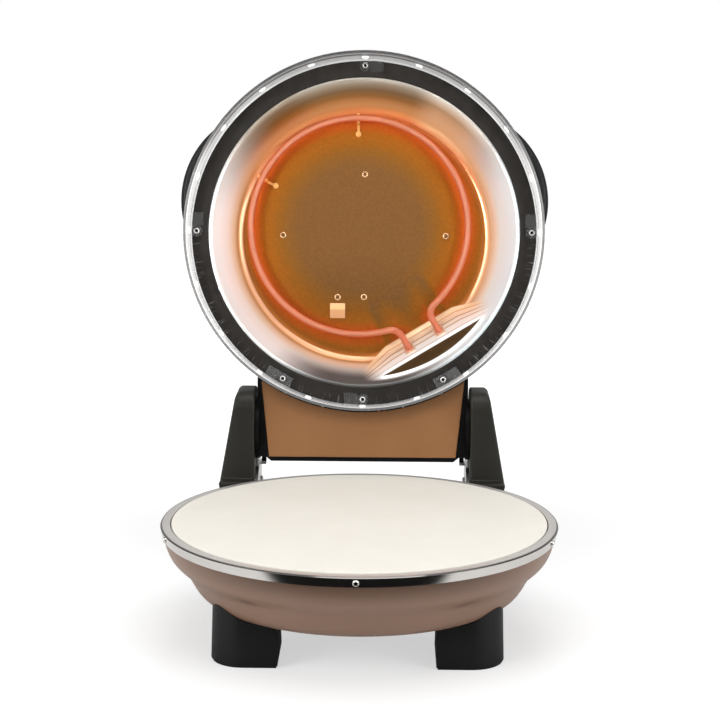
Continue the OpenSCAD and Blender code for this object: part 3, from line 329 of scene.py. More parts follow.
# Lower works. Under the stone lie a heater in a bright reflector dish on spacers, white ceramic
# bushes round its ends, a terminal block and wires in a red silicone cover.
dish_sheet, body, place = finish("bright_dish_sheet", rgb(222, 219, 212), Metallic=1, Roughness=0.25)
feed(body, Roughness=0.18 + 0.2 * place.grain(0.02), Normal=relief(place.grain(0.004), 0.0001))
dress(dish_sheet, "lower_reflector")

cold_tube, body, place = finish("oxidised_tube", rgb(84, 66, 58), Metallic=0.8, Roughness=0.5)
feed(body, Base_Color=place.grain(0.006, 3).between(rgb(70, 54, 48), rgb(104, 80, 68)),
     Normal=relief(place.grain(0.0008), 0.00004))
dress(cold_tube, "lower_heater")

zinc, body, place = finish("zinc_plate", rgb(196, 198, 199), Metallic=1, Roughness=0.35)
cloud = place.grain(0.006, 4, 0.7)
feed(body, Base_Color=cloud.between(rgb(168, 170, 172), rgb(222, 223, 222)), Roughness=0.26 + 0.2 * cloud,
     Normal=relief(place.grain(0.0008), 0.00002))
dress(zinc, "reflector_posts", "lower_heater_clips", "bottom_cover", "rear_saddle")

steatite, body, place = finish("white_steatite", rgb(232, 230, 222), Roughness=0.7)
feed(body, Base_Color=place.grain(0.003, 4).between(rgb(220, 216, 204), rgb(240, 239, 233)),
     Normal=relief(place.grain(0.0006), 0.00004))
dress(steatite, "lower_heater_bushes", "upper_heater_bushes", "terminal_block", "lid_terminals")

silicone, body, place = finish("red_silicone", rgb(150, 40, 30), Roughness=0.5)
feed(body, Base_Color=place.grain(0.004).between(rgb(132, 30, 24), rgb(172, 52, 38)),
     Normal=relief(place.grain(0.0008), 0.00005))
dress(silicone, "base_wiring", "lid_wiring")

screw_steel, body, place = finish("bright_screw_steel", rgb(212, 210, 206), Metallic=1, Roughness=0.25)
cloud = place.grain(0.0009, 3)
feed(body, Base_Color=cloud.between(rgb(178, 176, 172), rgb(230, 229, 226)), Roughness=0.16 + 0.2 * cloud,
     Normal=relief(place.grain(0.0004), 0.00002))
dress(screw_steel, "cover_screws", "foot_screws", "saddle_screws", "arm_screws", "handle_screws",
      "housing_screws", "hinge_pin_left", "hinge_pin_right", "thermostat_spindle", "timer_spindle")

# Feet. Four hollow feet moulded in charcoal plastic, flat on the inner side, each on a rubber
# sole and held to the bowl by one long screw.
foot_edge = 0.001


def moulded(name, colour, grain_size, grain_depth, roughness):
    """Moulded plastic with the fine grain of its spark-eroded mould."""
    material, body, place = finish(name, colour, Roughness=roughness, Specular_IOR_Level=0.22)
    cloud = place.grain(0.03, 3)
    lighter = tuple(1.25 * v + 0.002 for v in colour)
    feed(body, Base_Color=cloud.between(colour, lighter), Roughness=roughness - 0.05 + 0.12 * cloud,
         Normal=relief(place.grain(grain_size, 3, 0.6), grain_depth))
    return material


foot_plastic = moulded("charcoal_foot_plastic", rgb(7, 7, 7), 0.0007, 0.00005, 0.5)
for foot in ("foot_front_left", "foot_front_right", "foot_rear_left", "foot_rear_right"):
    fitted(smoothed("moulded_" + foot, foot, foot_edge), foot_plastic, "foot_plastic", "base", foot)
rubber = moulded("sole_rubber", rgb(22, 22, 22), 0.0012, 0.0001, 0.85)
dress(rubber, "foot_soles", "stop_buffers", "cord_gland")

# Rim ring. Stainless steel sheet, pressed over the bowl's edge and polished round and round, with
# five small screws through its band. Their sockets are deep and lobed.
flat_z, seat_r, edge_r, edge_z = -0.0013, 0.1575, 0.1622, -0.0022
ring_steel, body, place = finish("brushed_ring_steel", rgb(196, 192, 188), Metallic=1, Roughness=0.2)
x, y, z = place.parts()
reach = (x * x + y * y) ** 0.5
brushed = place.vector(reach * 3, y.turn_of(x) * 0.012, z * 3).grain(0.0012, 3)
flat_top = (z - flat_z).step(0, 0.0002).most((seat_r - reach).step(0, 0.0003))
# A dark band of painted reflection runs round the ring's rounded outer edge.
painted_edge_reflection = (reach - edge_r).step(0, 0.0003) * (z - edge_z).step(0, 0.0004)
polish = brushed.between(rgb(194, 190, 186), rgb(220, 217, 213))
feed(body, Base_Color=(painted_edge_reflection * 0.8).between(polish, rgb(52, 48, 46)), Metallic=1 - 0.45 * flat_top,
     Roughness=0.07 + 0.08 * brushed + 0.25 * flat_top, Normal=relief(brushed, 0.000008))
dress(ring_steel, "rim_ring")


def spun(name, points, steps):
    """A turned piece: a line of points, spun round the upright axis."""
    mesh = bpy.data.meshes.new(name)
    mesh.from_pydata(points, [(i, i + 1) for i in range(len(points) - 1)], [])
    made = bpy.data.objects.new(name, mesh)
    bpy.context.collection.objects.link(made)
    alone(made)
    bpy.ops.object.mode_set(mode="EDIT")
    bpy.ops.mesh.select_all(action="SELECT")
    bpy.ops.mesh.spin(steps=steps, angle=math.tau, center=(0, 0, 0), axis=(0, 0, 1))
    bpy.ops.mesh.select_all(action="SELECT")
    bpy.ops.mesh.remove_doubles(threshold=weld)
    bpy.ops.mesh.normals_make_consistent(inside=False)
    bpy.ops.object.mode_set(mode="OBJECT")
    bpy.ops.object.shade_smooth()
    return made


def joined(pieces):
    """Makes one piece of several."""
    alone(pieces[0])
    for made in pieces[1:]:
        made.select_set(True)
    bpy.ops.object.join()
    return pieces[0]


def domed_screws(name, node, slot, body, heads, head_r, head_h, shank, bright, dark):
    """Screws with a domed head and a deep lobed socket, painted dark as shade. Each head stands on its place
    and faces its way.
    """
    curve = [(0, 0.35 * head_h), (0.46 * head_r, 0.4 * head_h), (0.54 * head_r, 0.94 * head_h),
             (0.66 * head_r, head_h), (0.86 * head_r, 0.8 * head_h), (0.97 * head_r, 0.4 * head_h),
             (head_r, 0), (0.5 * head_r, 0), (0.5 * head_r, -shank), (0, -shank)]
    pattern = spun("screw", [(r, 0, z) for r, z in curve], 32)
    hollow = pattern.data.attributes.new("hollow", "FLOAT", "POINT")
    for vertex, mark in zip(pattern.data.vertices, hollow.data):
        x, y, z = vertex.co
        if z > 0 and math.hypot(x, y) < 0.6 * head_r:
            lobe = 1 + 0.16 * math.cos(4 * math.atan2(y, x))
            vertex.co = x * lobe, y * lobe, z
            mark.value = float(z < 0.9 * head_h)
    screws = []
    for spot, towards in heads:
        made = bpy.data.objects.new(name, pattern.data.copy())
        bpy.context.collection.objects.link(made)
        turned = Vector(towards).to_track_quat("Z", "Y").to_matrix().to_4x4()
        made.data.transform(Matrix.Translation(spot) @ turned)
        screws.append(made)
    bpy.data.objects.remove(pattern)
    made = joined(screws)
    bpy.ops.object.shade_smooth_by_angle(angle=math.radians(40))
    material, surface, place = finish(name + "_steel", bright, Metallic=1, Roughness=0.22)
    deep = place.node("ShaderNodeAttribute", {"attribute_name": "hollow"}, {}, 2)
    cloud = place.grain(0.0009, 3)
    shiny = cloud.between(tuple(v * 0.78 for v in bright), bright)
    feed(surface, Base_Color=deep.between(shiny, dark), Roughness=0.16 + 0.16 * cloud + 0.3 * deep,
         Normal=relief(place.grain(0.0004), 0.00002))
    fitted(made, material, slot, body, node)


band_h, band_taper = 0.0072, 0.0016
rim_screw_r, rim_screw_z, proud = 0.1632, -0.0057, 0.00005
band_lean = math.atan(band_taper / band_h)
rim_heads = []
for turn in range(-90, 270, 72):
    side = Vector((math.cos(math.radians(turn)), math.sin(math.radians(turn)), 0))
    outward = side * math.cos(band_lean) - Vector((0, 0, math.sin(band_lean)))
    rim_heads.append((side * rim_screw_r + Vector((0, 0, rim_screw_z)) + outward * proud, outward))
domed_screws("rim_ring_screws", "rim_screws", "screw_steel", "base", rim_heads, 0.0027, 0.0015, 0.0055,
             rgb(236, 233, 228), rgb(26, 24, 22))

# Baking stone. A disc of cream cordierite, pressed and fired unglazed, so it is matt and very
# finely pitted, with a softened edge. It lies loose in the ring.
stone, body, place = finish("cream_fired_stone", rgb(238, 235, 226), Roughness=0.8)
cloud = place.grain(0.05, 4)
pits = place.grain(0.0012, 3, 0.7)
speck = (pits - 0.62).step(0, 0.08)
cream = cloud.between(rgb(229, 225, 214), rgb(239, 236, 228))
feed(body, Base_Color=(speck * 0.35).between(cream, rgb(204, 194, 172)), Roughness=0.72 + 0.15 * cloud,
     Normal=relief(pits, 0.00012))
dress(stone, "baking_stone")

# Hinge bracket and arms. A bare plated steel plate with a folded stop tab stands inside each arm.
# The arms are moulded in dark plastic, with well-rounded edges, and hide the rest of it.
arm_edge = 0.0016
plate_steel, body, place = finish("bracket_steel", rgb(205, 204, 202), Metallic=1, Roughness=0.3)
x, y, z = place.parts()
rolled = place.vector(x * 0.2, y * 0.05, z).grain(0.0006, 3)
feed(body, Base_Color=rolled.between(rgb(180, 179, 178), rgb(226, 225, 223)), Roughness=0.2 + 0.2 * rolled,
     Normal=relief(rolled, 0.00002))
dress(plate_steel, "bracket_plate_left", "bracket_plate_right")

arm_plastic = moulded("dark_arm_plastic", rgb(30, 29, 24), 0.0006, 0.00004, 0.42)
for side in ("left", "right"):
    arm = smoothed("moulded_arm_" + side, "hinge_arm_" + side, arm_edge)
    fitted(arm, arm_plastic, "arm_plastic", "base", "hinge_arm_" + side)

# Lid frame. A black enamelled steel ring that carries the pan and the guard on six screws. Pale
# radial streaks of light through the guard's ribs are painted round its outer edge, on its lower half.
streak_r = 0.148
hinge = frame["joints"][0]
pivot = tuple(hinge["pos_m"])
swing = math.radians(hinge["range_deg"][1])


def closed(place):
    """Places on the lid as they are when it is shut, with its mouth at z = 0."""
    return place.node("ShaderNodeVectorRotate", {"rotation_type": "X_AXIS"},
                      {"Vector": place, "Center": pivot, "Angle": swing})


frame_enamel, body, place = finish("black_frame_enamel", rgb(50, 46, 42), Roughness=0.35,
                                   Specular_IOR_Level=0.25)
x, y, z = closed(place).parts()
reach = (x * x + y * y) ** 0.5
cloud = place.grain(0.012, 4, 0.6)
painted_light_streak = (place.vector(y.turn_of(x) * 1.2, reach * 0.6, 0).grain(0.012, 3, 0.7) - 0.56).step(0, 0.12)
painted_light_streak = painted_light_streak * (reach - streak_r).step(0, 0.010) * (y + 0.02).step(0, 0.05)
coat = cloud.between(rgb(22, 19, 17), rgb(44, 40, 36))
feed(body, Base_Color=(painted_light_streak * 0.6).between(coat, rgb(160, 158, 155)), Roughness=0.3 + 0.15 * cloud,
     Normal=relief(place.grain(0.0015, 3), 0.00008))
dress(frame_enamel, "frame_ring")

# Reflector pan. Spun and pressed from mirror-bright aluminium, with a rolled lip, a sloping wall
# and a raised platform for the heater's ends. Four screws hold it, and its gold is painted glow and
# reflection.
mouth_r, mouth_z, floor_r, floor_z = 0.1395, 0.0208, 0.1157, 0.051
lip_r, roll_r, roll_half_w, roll_h, lip_end_r, lip_rise = 0.1394, 0.1413, 0.0019, 0.0009, 0.1428, 3
tilt = math.radians(31)
foot_d, top_d, top_z = 0.103, 0.121, 0.028
top_fillet, floor_fillet, foot_fillet = 0.005, 0.007, 0.006
flat_r, flat_rings, fine_rings, ring_gap, round_steps = 0.0965, 6, 77, 0.00062, 480
sheet_t = 0.0008
open_turn = (Matrix.Translation(pivot) @ Matrix.Rotation(-swing, 4, "X")
             @ Matrix.Translation([-v for v in pivot]))


def round_least(a, b, size):
    """The lesser of two heights, with a fillet of about this size where they meet."""
    mix = max(size - abs(a - b), 0) / size
    return min(a, b) - mix * mix * size / 4


def pan_depth(x, y):
    """Depth of the pan's face behind the lid's mouth, at a place on the shut lid."""
    reach = math.hypot(x, y)
    if reach > lip_r:
        roll = 1 - ((reach - roll_r) / roll_half_w) ** 2
        return mouth_z - roll_h * max(roll, 0) + lip_rise * max(reach - lip_end_r, 0)
    wall = mouth_z + (mouth_r - reach) * (floor_z - mouth_z) / (mouth_r - floor_r)
    along = x * math.sin(tilt) + y * math.cos(tilt)
    slope = floor_z - (along - foot_d) * (floor_z - top_z) / (top_d - foot_d)
    platform = -round_least(-slope, -top_z, top_fillet)
    return max(round_least(round_least(wall, floor_z, floor_fillet), platform, foot_fillet), mouth_z)


rings = [flat_r * i / flat_rings for i in range(flat_rings)]
rings += [flat_r + ring_gap * i for i in range(fine_rings)]
pan = spun("pressed_pan", [(r, 0, 0) for r in rings], round_steps)
for vertex in pan.data.vertices:
    vertex.co.z = pan_depth(vertex.co.x, vertex.co.y)
if pan.data.polygons[0].normal.z > 0:
    pan.data.flip_normals()
thick = pan.modifiers.new("sheet", "SOLIDIFY")
thick.thickness = sheet_t
bpy.ops.object.modifier_apply(modifier=thick.name)
pan.data.transform(open_turn)

# Painted glow and reflection, read along the distance from the heater and from the lid's middle, in metres.
platform_shift, loop_r, ends_mid, ends_half = 0.009, 0.1005, -0.002, 0.016
pan_metal, body, place = finish("painted_glow_pan", rgb(200, 190, 175), Metallic=1, Roughness=0.2,
                                Specular_IOR_Level=0.2)


def from_tilt(x, y):
    """Distances across and along the platform's middle line."""
    return x * math.cos(tilt) - y * math.sin(tilt), x * math.sin(tilt) + y * math.cos(tilt)


x, y, z = closed(place).parts()
across, along = from_tilt(x, y)
reach = (x * x + y * y) ** 0.5
loop_reach = (across * across + (along + platform_shift) * (along + platform_shift)) ** 0.5
gap = (along - 0.05).step(0, 0.02) * (1 - abs(across - ends_mid).step(0.024, 0.034))
from_loop = abs(loop_reach - loop_r) + gap * 0.03
from_ends = abs(abs(across - ends_mid) - ends_half) + (0.094 - along).most(along - 0.106).most(0)
floor_glow_tint = from_loop.least(from_ends).tints(
    (0.003, rgb(184, 78, 14)), (0.0075, rgb(170, 80, 6)), (0.012, rgb(150, 84, 4)),
    (0.022, rgb(136, 80, 8)), (0.031, rgb(123, 78, 22)), (0.042, rgb(112, 74, 32)), (0.07, rgb(110, 73, 34)))

# Painted reflections make the wall bright low down, and brown or golden high up and at its shoulders.
side_tint = reach.tints(
    (0.108, rgb(150, 86, 28)), (0.1125, rgb(168, 98, 38)), (0.1145, rgb(252, 200, 158)),
    (0.1162, rgb(240, 182, 138)), (0.1182, rgb(188, 130, 76)), (0.1212, rgb(236, 200, 166)),
    (0.127, rgb(249, 241, 234)), (0.133, rgb(250, 250, 250)), (0.1435, rgb(242, 242, 242)))
top_tint = reach.tints(
    (0.108, rgb(182, 84, 28)), (0.1125, rgb(205, 112, 60)), (0.115, rgb(228, 132, 80)),
    (0.1185, rgb(214, 138, 80)), (0.122, rgb(212, 158, 104)), (0.1255, rgb(190, 142, 88)),
    (0.1285, rgb(150, 110, 62)), (0.133, rgb(124, 100, 70)), (0.137, rgb(150, 138, 118)),
    (0.1435, rgb(206, 198, 188)))
golden_tint = reach.tints(
    (0.108, rgb(182, 84, 28)), (0.1125, rgb(205, 112, 60)), (0.115, rgb(240, 172, 120)),
    (0.1185, rgb(226, 172, 124)), (0.122, rgb(232, 184, 138)), (0.1255, rgb(222, 182, 140)),
    (0.130, rgb(204, 166, 126)), (0.134, rgb(180, 146, 110)), (0.138, rgb(214, 198, 178)),
    (0.1435, rgb(236, 230, 222)))
brown_tint = reach.tints(
    (0.108, rgb(182, 84, 28)), (0.1125, rgb(205, 112, 60)), (0.115, rgb(228, 132, 80)),
    (0.1185, rgb(220, 148, 92)), (0.1235, rgb(214, 150, 98)), (0.128, rgb(156, 100, 48)),
    (0.131, rgb(128, 84, 36)), (0.137, rgb(120, 96, 68)), (0.1435, rgb(200, 184, 166)))
right_tint = reach.tints(
    (0.1155, rgb(200, 148, 98)), (0.1185, rgb(214, 172, 134)), (0.122, rgb(236, 214, 190)),
    (0.1265, rgb(234, 240, 236)), (0.136, rgb(232, 246, 252)), (0.1435, rgb(232, 240, 244)))
sideways, upwards = x / reach, -y / reach
right_shoulder = (0.3 - abs(sideways - 0.62)).step(0, 0.2)
top_tint = right_shoulder.between(top_tint, golden_tint)
left_shoulder = (0.34 - abs(sideways + 0.66)).step(0, 0.24)
top_tint = (left_shoulder * 0.85).between(top_tint, brown_tint)
upper_side = upwards.step(0.1, 0.8)
wall_tint = upper_side.between(side_tint, top_tint)
right_side = sideways.step(0.25, 0.85) * (reach - 0.1155).step(0, 0.003) * (1 - upper_side)
wall_tint = right_side.between(wall_tint, right_tint)
# The wall's part towards the hinge is darkened with painted shade.
painted_wall_shade = (y / reach).step(0.78, 0.98) * (reach - 0.118).step(0, 0.016)
wall_tint = (painted_wall_shade * 0.9).between(wall_tint, rgb(40, 37, 34))
tint = (reach - 0.107).step(0, 0.004).between(floor_glow_tint, wall_tint)

# Pressed lines run along the platform's slope and fan out towards its ends. Their highlights and
# shade are painted as bright and dark lines.
fan_start, fan_end, fan_flat, fan_lean = 0.0985, 0.122, 0.036, 0.32
slope_start = (abs(across) - fan_flat).most(0) * fan_lean + fan_start
fan = (along - slope_start) * (fan_end - fan_start) / (fan_end - slope_start).most(0.002) + fan_start
slope_light_and_shade = fan.tints(
    (0.0985, rgb(214, 140, 76)), (0.1, rgb(255, 220, 180)), (0.1035, rgb(252, 212, 168)),
    (0.1042, rgb(190, 130, 80)), (0.1049, rgb(255, 226, 194)), (0.1085, rgb(252, 220, 188)),
    (0.1092, rgb(150, 104, 62)), (0.1100, rgb(255, 240, 224)), (0.1125, rgb(253, 232, 210)),
    (0.1132, rgb(176, 132, 94)), (0.1140, rgb(255, 250, 244)), (0.1180, rgb(255, 252, 248)),
    (0.1186, rgb(196, 172, 150)), (0.1194, rgb(252, 250, 248)), (0.122, rgb(252, 250, 248)))
on_slope = (along - slope_start).step(0, 0.0012) * (0.1375 - reach).step(0, 0.003)
on_slope = on_slope * (1 - abs(across).step(0.050, 0.070))
tint = on_slope.between(tint, slope_light_and_shade)
platform_top = (along - 0.1215).step(0, 0.0012) * (0.1335 - reach).step(0, 0.0012)
tint = platform_top.between(tint, rgb(64, 42, 15))

# The floor and the platform have a fine sandy grain, and the floor darkens towards the hinge.
flat = (1 - (reach - 0.108).step(0, 0.006)) * (1 - on_slope)
grainy = flat.most(platform_top)
sand = place.grain(0.0022, 3, 0.7)
low_floor = (y - 0.01).step(0, 0.06) * 0.2
tint = (grainy * (sand.step(0.35, 0.65) * 0.14 + low_floor * flat)).between(tint, grey(0))
feed(body, Base_Color=tint, Metallic=0.45 - 0.1 * grainy,
     Roughness=0.18 + 0.3 * grainy + 0.06 * place.grain(0.01), Normal=relief(sand * grainy, 0.0002))
fitted(pan, pan_metal, "pan_mirror", "lid", "reflector_pan")

# Upper heater. A sheathed tube bent into an open loop round the pan's floor, with both ends up on
# the platform. It glows orange when it is on.
loop_z, tube_r, bend_r, end_d = 0.038, 0.003, 0.012, 0.127


def arc(centre, radius, start, stop, count):
    """Points round part of a circle, in degrees."""
    angles = [math.radians(start + (stop - start) * i / count) for i in range(count + 1)]
    return [(centre[0] + radius * math.cos(a), centre[1] + radius * math.sin(a)) for a in angles]


def pipe(name, points, radius, sides):
    """A round tube along these points, closed at its ends."""
    line = bpy.data.curves.new(name, "CURVE")
    line.dimensions = "3D"
    line.bevel_depth, line.bevel_resolution, line.use_fill_caps = radius, sides, True
    spline = line.splines.new("POLY")
    spline.points.add(len(points) - 1)
    for point, spot in zip(spline.points, points):
        point.co = (*spot, 1)
    made = bpy.data.objects.new(name, line)
    bpy.context.collection.objects.link(made)
    alone(made)
    bpy.ops.object.convert(target="MESH")
    bpy.ops.object.shade_smooth_by_angle(angle=math.radians(50))
    return bpy.context.object


def from_platform(u, v, z):
    """A place on the shut lid, from its place across and along the platform's middle line."""
    return (u * math.cos(tilt) + v * math.sin(tilt), v * math.cos(tilt) - u * math.sin(tilt), z)


span = loop_r + bend_r
left_end, right_end = ends_mid - ends_half, ends_mid + ends_half
left_u, right_u = left_end - bend_r, right_end + bend_r
left_a, right_a = math.degrees(math.asin(-left_u / span)), math.degrees(math.asin(right_u / span))
left_c = (left_u, span * math.cos(math.radians(left_a)) - platform_shift)
right_c = (right_u, span * math.cos(math.radians(right_a)) - platform_shift)
route = [(left_end, end_d)] + arc(left_c, bend_r, 0, left_a - 90, 12)
route += arc((0, -platform_shift), loop_r, 90 + left_a, 450 - right_a, 150)[1:]
route += arc(right_c, bend_r, 270 - right_a, 180, 12)[1:] + [(right_end, end_d)]
tube = pipe("glowing_loop", [from_platform(u, v, loop_z) for u, v in route], tube_r, 6)
tube.data.transform(open_turn)

# A painted highlight makes it palest along its middle, where it faces out of the lid.
hot_tube, body, place = finish("glowing_tube", rgb(236, 140, 110), Roughness=0.55, Emission_Strength=1)
cloud = place.grain(0.006, 3)
x, y, z = closed(place).parts()
across, along = from_tilt(x, y)
loop_reach = (across * across + (along + platform_shift) * (along + platform_shift)) ** 0.5
off_loop = abs(loop_reach - loop_r) / tube_r
painted_highlight_core = (1 - off_loop.step(0.25, 1)).most(along.step(0.084, 0.09) * 0.5)
feed(body, Base_Color=painted_highlight_core.between(rgb(170, 66, 24), cloud.between(rgb(164, 94, 66), rgb(176, 106, 78))),
     Emission_Color=painted_highlight_core.between((0.07, 0.010, 0.001),
                                 cloud.between((0.075, 0.031, 0.015), (0.09, 0.037, 0.019))),
     Normal=relief(place.grain(0.0008), 0.00003))
fitted(tube, hot_tube, "heater_tube", "lid", "upper_heater")

# Small fittings in the pan: its screws, the heater's two clips, the plates at its ends and the
# sensor's plate. Their pale brass colour is painted glow and reflection from the golden pan.
end_plate_d, seated = 0.097, 0.00005
pan_screw_x, pan_screw_y = 0.076, 0.0575
sensor_x, sensor_y, sensor_z, sensor_screw_y = -0.0245, 0.0704, 0.05035, 0.0578
sensor_w, sensor_t, sensor_edge, fold_y = 0.014, 0.0012, 0.0004, 0.0690
golden_glow_steel, body, place = finish("painted_glow_steel", rgb(255, 222, 172), Metallic=1, Roughness=0.3)
cloud = place.grain(0.0015, 3)
x, y, z = closed(place).parts()
across, along = from_tilt(x, y)
end_plate = (along - end_plate_d).step(0, 0.002)
golden = cloud.between(rgb(250, 180, 96), rgb(255, 206, 130))
feed(body, Base_Color=end_plate.between(golden, rgb(255, 234, 210)), Roughness=0.3 + 0.2 * cloud,
     Normal=relief(place.grain(0.0005), 0.00002))
dress(golden_glow_steel, "upper_heater_clips")

facing = open_turn.to_3x3() @ Vector((0, 0, -1))
pan_heads = [(open_turn @ Vector((x, y, floor_z - seated)), facing)
             for x, y in ((pan_screw_x, 0), (-pan_screw_x, 0), (0, pan_screw_y), (0, -pan_screw_y),
                          (sensor_x, sensor_screw_y))]
domed_screws("pan_floor_screws", "pan_screws", "screw_steel", "lid", pan_heads, 0.0034, 0.0018, 0.009,
             rgb(255, 224, 176), rgb(120, 78, 40))

sensor_sheet, body, place = finish("painted_glow_sensor_sheet", rgb(226, 176, 124), Metallic=0.35,
                                   Roughness=0.4)
x, y, z = closed(place).parts()
lower_part = (y - fold_y).step(0, 0.0004)
fine_lines = (y * 4400).sine().step(0.2, 0.8) * lower_part
sheet_tint = (lower_part * 0.55).between(rgb(230, 178, 126), rgb(150, 92, 48))
feed(body, Base_Color=(fine_lines * 0.4).between(sheet_tint, rgb(226, 172, 120)),
     Roughness=0.34 + 0.16 * place.grain(0.0015, 3), Normal=relief(place.grain(0.0006), 0.00002))
bpy.ops.mesh.primitive_cube_add(size=1)
plate = bpy.context.object
plate.name = "sensor_sheet"
plate.data.transform(Matrix.Translation((sensor_x, sensor_y, sensor_z))
                     @ Matrix.Diagonal((sensor_w, sensor_w, sensor_t, 1)))
alone(plate)
bpy.ops.object.mode_set(mode="EDIT")
bpy.ops.mesh.select_all(action="SELECT")
bpy.ops.mesh.bevel(offset=sensor_edge, segments=3)
bpy.ops.object.mode_set(mode="OBJECT")
bpy.ops.object.shade_smooth_by_angle(angle=math.radians(40))
plate.data.transform(open_turn)
fitted(plate, sensor_sheet, "bright_aluminium", "lid", "sensor_plate")

# Clear guard. A ring of clear heat-proof plastic round the lid's mouth, moulded with tabs for its
# screws and fine slanting ribs. Light caught in its wall makes it look milky.
wall_r, collar_z, nub_z, nub_r, nub_step = 0.1592, 0.0212, 0.012, 0.1606, math.radians(18)
guard_clear, body, place = finish("clear_guard_plastic", (0.98, 0.98, 0.97), Roughness=0.04, IOR=1.49,
                                  Transmission_Weight=1)
x, y, z = closed(place).parts()
turn = y.turn_of(x)
reach = (x * x + y * y) ** 0.5
wall = (reach - wall_r).step(0, 0.0004).most((z - collar_z).step(0, 0.0004))
top_part = (-0.03 - y).step(0, 0.07)
sides = (abs(x) / reach).step(0.35, 0.9)
slant = ((turn * 190 + z * 2600).sine() * 0.5 + 0.5).step(0.25, 0.75)
ribs = slant * wall * (1 - top_part) * (z - 0.004).step(0, 0.001) * (0.0205 - z).step(0, 0.001)
feed(body, Normal=relief(ribs, 0.0001))

# Its milky share is painted with light: bright and dark bands, one above the other, dark lines
# along its ribs, a row of small snap nubs as white highlights, and a glow strongest at its sides.
side_lines = z.tints(
    (0, grey(0.06)), (0.0006, grey(0.5)), (0.0014, grey(0.9)), (0.0030, grey(0.85)),
    (0.0036, grey(0.3)), (0.0042, grey(0.85)), (0.0200, grey(0.8)), (0.0208, grey(0.25)),
    (0.0216, grey(0.9)), (0.024, grey(0.6)))
top_lines = z.tints(
    (0, grey(0.03)), (0.0008, grey(0.3)), (0.0016, grey(0.05)), (0.0030, grey(0.5)),
    (0.0040, grey(0.12)), (0.0070, grey(0.05)), (0.0085, grey(0.32)), (0.0140, grey(0.40)),
    (0.0200, grey(0.62)), (0.024, grey(0.75)))
steps_round = turn / nub_step + 0.5
off_nub = abs(steps_round.sum("FRACT", steps_round) - 0.5)
nub = (0.075 - off_nub).step(0, 0.02) * (0.0022 - abs(z - nub_z)).step(0, 0.0004)
nub = nub * (nub_r - reach).step(0, 0.0002)
lines = (ribs * 0.75).between(top_part.between(side_lines, top_lines), grey(0.12))
lines = nub.between(lines, grey(1))
milk = Shade(place.tree, place.tree.nodes.new("ShaderNodeBsdfPrincipled").outputs[0])
milky = milk.socket.node
milky.inputs["Roughness"].default_value = 0.25
milky.inputs["Emission Strength"].default_value = 1
light = wall * (sides * 0.55 + 0.34 + top_part * 0.2)
feed(milky, Base_Color=lines, Emission_Color=light.between(grey(0), lines))
share = (wall * 0.74 + 0.05).most(nub)
blend = place.node("ShaderNodeMixShader", {}, {0: share, 1: Shade(place.tree, body.outputs[0]), 2: milk})
feed(place.tree.nodes["Material Output"], Surface=blend)
dress(guard_clear, "clear_guard")

tab_r, tab_z = 0.1534, 0.01755
guard_heads = []
for turn in (0, 90, 180, 270, 61.5, 118.5):
    angle = math.radians(turn)
    spot = Vector((tab_r * math.cos(angle), tab_r * math.sin(angle), tab_z))
    guard_heads.append((open_turn @ spot, facing))
domed_screws("guard_tab_screws", "guard_screws", "screw_steel", "lid", guard_heads, 0.0029, 0.0016, 0.015,
             rgb(236, 235, 232), rgb(34, 32, 30))

# Handles, hinge housing and knobs. All are moulded in black plastic. Each knob has a pale line
# printed along its grip.
handle_edge, knob_edge = 0.0012, 0.0006
knob_x, knob_y, grip_y, grip_z, line_half_w = 0.048, 0.182, 0.187, 0.0742, 0.0006
handle_plastic = moulded("black_handle_plastic", rgb(11, 10, 9), 0.0006, 0.00004, 0.4)
for side in ("left", "right"):
    handle = smoothed("moulded_handle_" + side, "handle_" + side, handle_edge)
    fitted(handle, handle_plastic, "handle_plastic", "lid", "handle_" + side)
housing_plastic = moulded("black_housing_plastic", rgb(5, 4, 4), 0.0006, 0.00004, 0.4)
housing_plastic.node_tree.nodes["Principled BSDF"].inputs["Specular IOR Level"].default_value = 0.1
dress(housing_plastic, "hinge_housing")

knob_plastic, body, place = finish("black_knob_plastic", rgb(12, 11, 10), Roughness=0.4,
                                   Specular_IOR_Level=0.22)
x, y, z = closed(place).parts()
pointer = (line_half_w - abs(abs(x) - knob_x)).step(0, 0.0001)
pointer = pointer * (y - grip_y).step(0, 0.0002) * (z - grip_z).step(0, 0.0002)
cloud = place.grain(0.02, 3)
black = cloud.between(rgb(11, 10, 9), rgb(17, 16, 15))
feed(body, Base_Color=pointer.between(black, rgb(226, 224, 218)), Roughness=0.36 + 0.12 * cloud,
     Normal=relief(place.grain(0.0006, 3), 0.00004))
for knob in ("thermostat_knob", "timer_knob"):
    fitted(smoothed("moulded_" + knob, knob, knob_edge), knob_plastic, "knob_plastic", knob, knob)

# Dials. A pale scale is printed round each knob: 0 to 5 for the heat, and minutes for the timer.
# The knobs turn by the same angle from each mark to the next.
print_z, print_t, tick_w, figure_h, figure_r = 0.05802, 0.00016, 0.0005, 0.0042, 0.0248
long_tick, short_tick = (0.0211, 0.0018), (0.02095, 0.0012)
figures = []


def printed(made, x, y, turn):
    """Lays a thin flat mark on the housing's top, at this place and turn on the shut lid."""
    made.data.transform(open_turn @ Matrix.Translation((x, y, print_z)) @ Matrix.Rotation(turn, 4, "Z"))
    figures.append(made)


def ticked(centre, turn, reach, length):
    """Prints a short line that points at a knob's middle."""
    bpy.ops.mesh.primitive_cube_add(size=1)
    tick = bpy.context.object
    tick.data.transform(Matrix.Translation((reach, 0, 0)) @ Matrix.Diagonal((length, tick_w, print_t, 1)))
    printed(tick, centre, knob_y, turn)


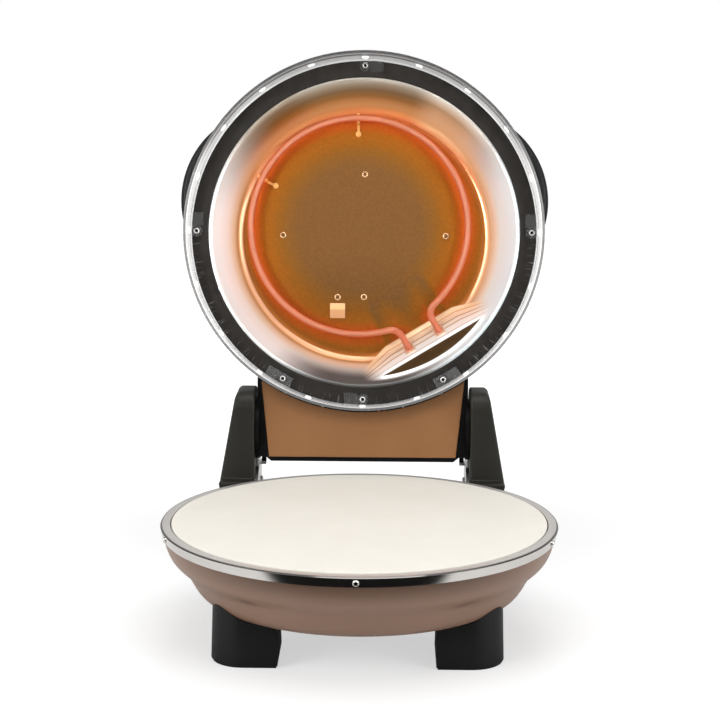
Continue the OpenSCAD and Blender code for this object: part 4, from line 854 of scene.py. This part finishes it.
for centre, marks, step in ((knob_x, range(0, 6), 54), (-knob_x, range(0, 31, 5), 50)):
    for i, mark in enumerate(marks):
        turn = math.radians(90 - step * i)
        ticked(centre, turn, *long_tick)
        if mark != marks[-1]:
            ticked(centre, turn - math.radians(step / 2), *short_tick)
        bpy.ops.object.text_add()
        label = bpy.context.object
        label.data.body, label.data.size, label.data.extrude = str(mark), figure_h, print_t / 2
        label.data.align_x, label.data.align_y = "CENTER", "CENTER"
        alone(label)
        bpy.ops.object.convert(target="MESH")
        printed(bpy.context.object, centre + figure_r * math.cos(turn), knob_y + figure_r * math.sin(turn), 0)
dial = joined(figures)
dial.name = "dial_figures"
print_white, body, place = finish("pale_print", rgb(214, 212, 206), Roughness=0.6)
feed(body, Base_Color=place.grain(0.001, 3).between(rgb(196, 194, 188), rgb(224, 222, 216)),
     Roughness=0.5 + 0.2 * place.grain(0.002))
fitted(dial, print_white, "housing_plastic", "lid")

# Underside panel and small parts. A painted steel plate closes the housing, with the guard's shadow
# painted on it beside the guard. Nylon bushes turn on the pins, and a red lens stands between the knobs.
guard_r, shade_w = 0.164, 0.016
panel_paint, body, place = finish("satin_brown_panel", rgb(151, 107, 70), Roughness=0.42,
                                  Specular_IOR_Level=0.25)
cloud = place.grain(0.03, 3)
x, y, z = closed(place).parts()
guard_shadow_paint = 1 - ((x * x + y * y) ** 0.5 - guard_r).step(0, shade_w)
coat = cloud.between(rgb(134, 92, 56), rgb(145, 102, 65))
feed(body, Base_Color=(guard_shadow_paint * 0.55).between(coat, rgb(66, 42, 22)), Roughness=0.36 + 0.12 * cloud,
     Normal=relief(place.grain(0.0012, 3), 0.00004))
dress(panel_paint, "housing_panel")
nylon = moulded("natural_nylon", rgb(206, 192, 164), 0.001, 0.00003, 0.45)
dress(nylon, "pivot_bush_left", "pivot_bush_right")
case_plastic = moulded("grey_case_plastic", rgb(70, 68, 66), 0.0008, 0.00004, 0.5)
dress(case_plastic, "thermostat", "timer", "thermal_cutout")

lens, body, place = finish("red_lamp_lens", rgb(190, 30, 20), Roughness=0.12, Coat_Weight=0.6)
cloud = place.grain(0.003)
feed(body, Base_Color=cloud.between(rgb(160, 18, 12), rgb(212, 44, 30)),
     Emission_Color=cloud.between((0.12, 0.01, 0.005), (0.2, 0.02, 0.01)))
dress(lens, "pilot_lamp")
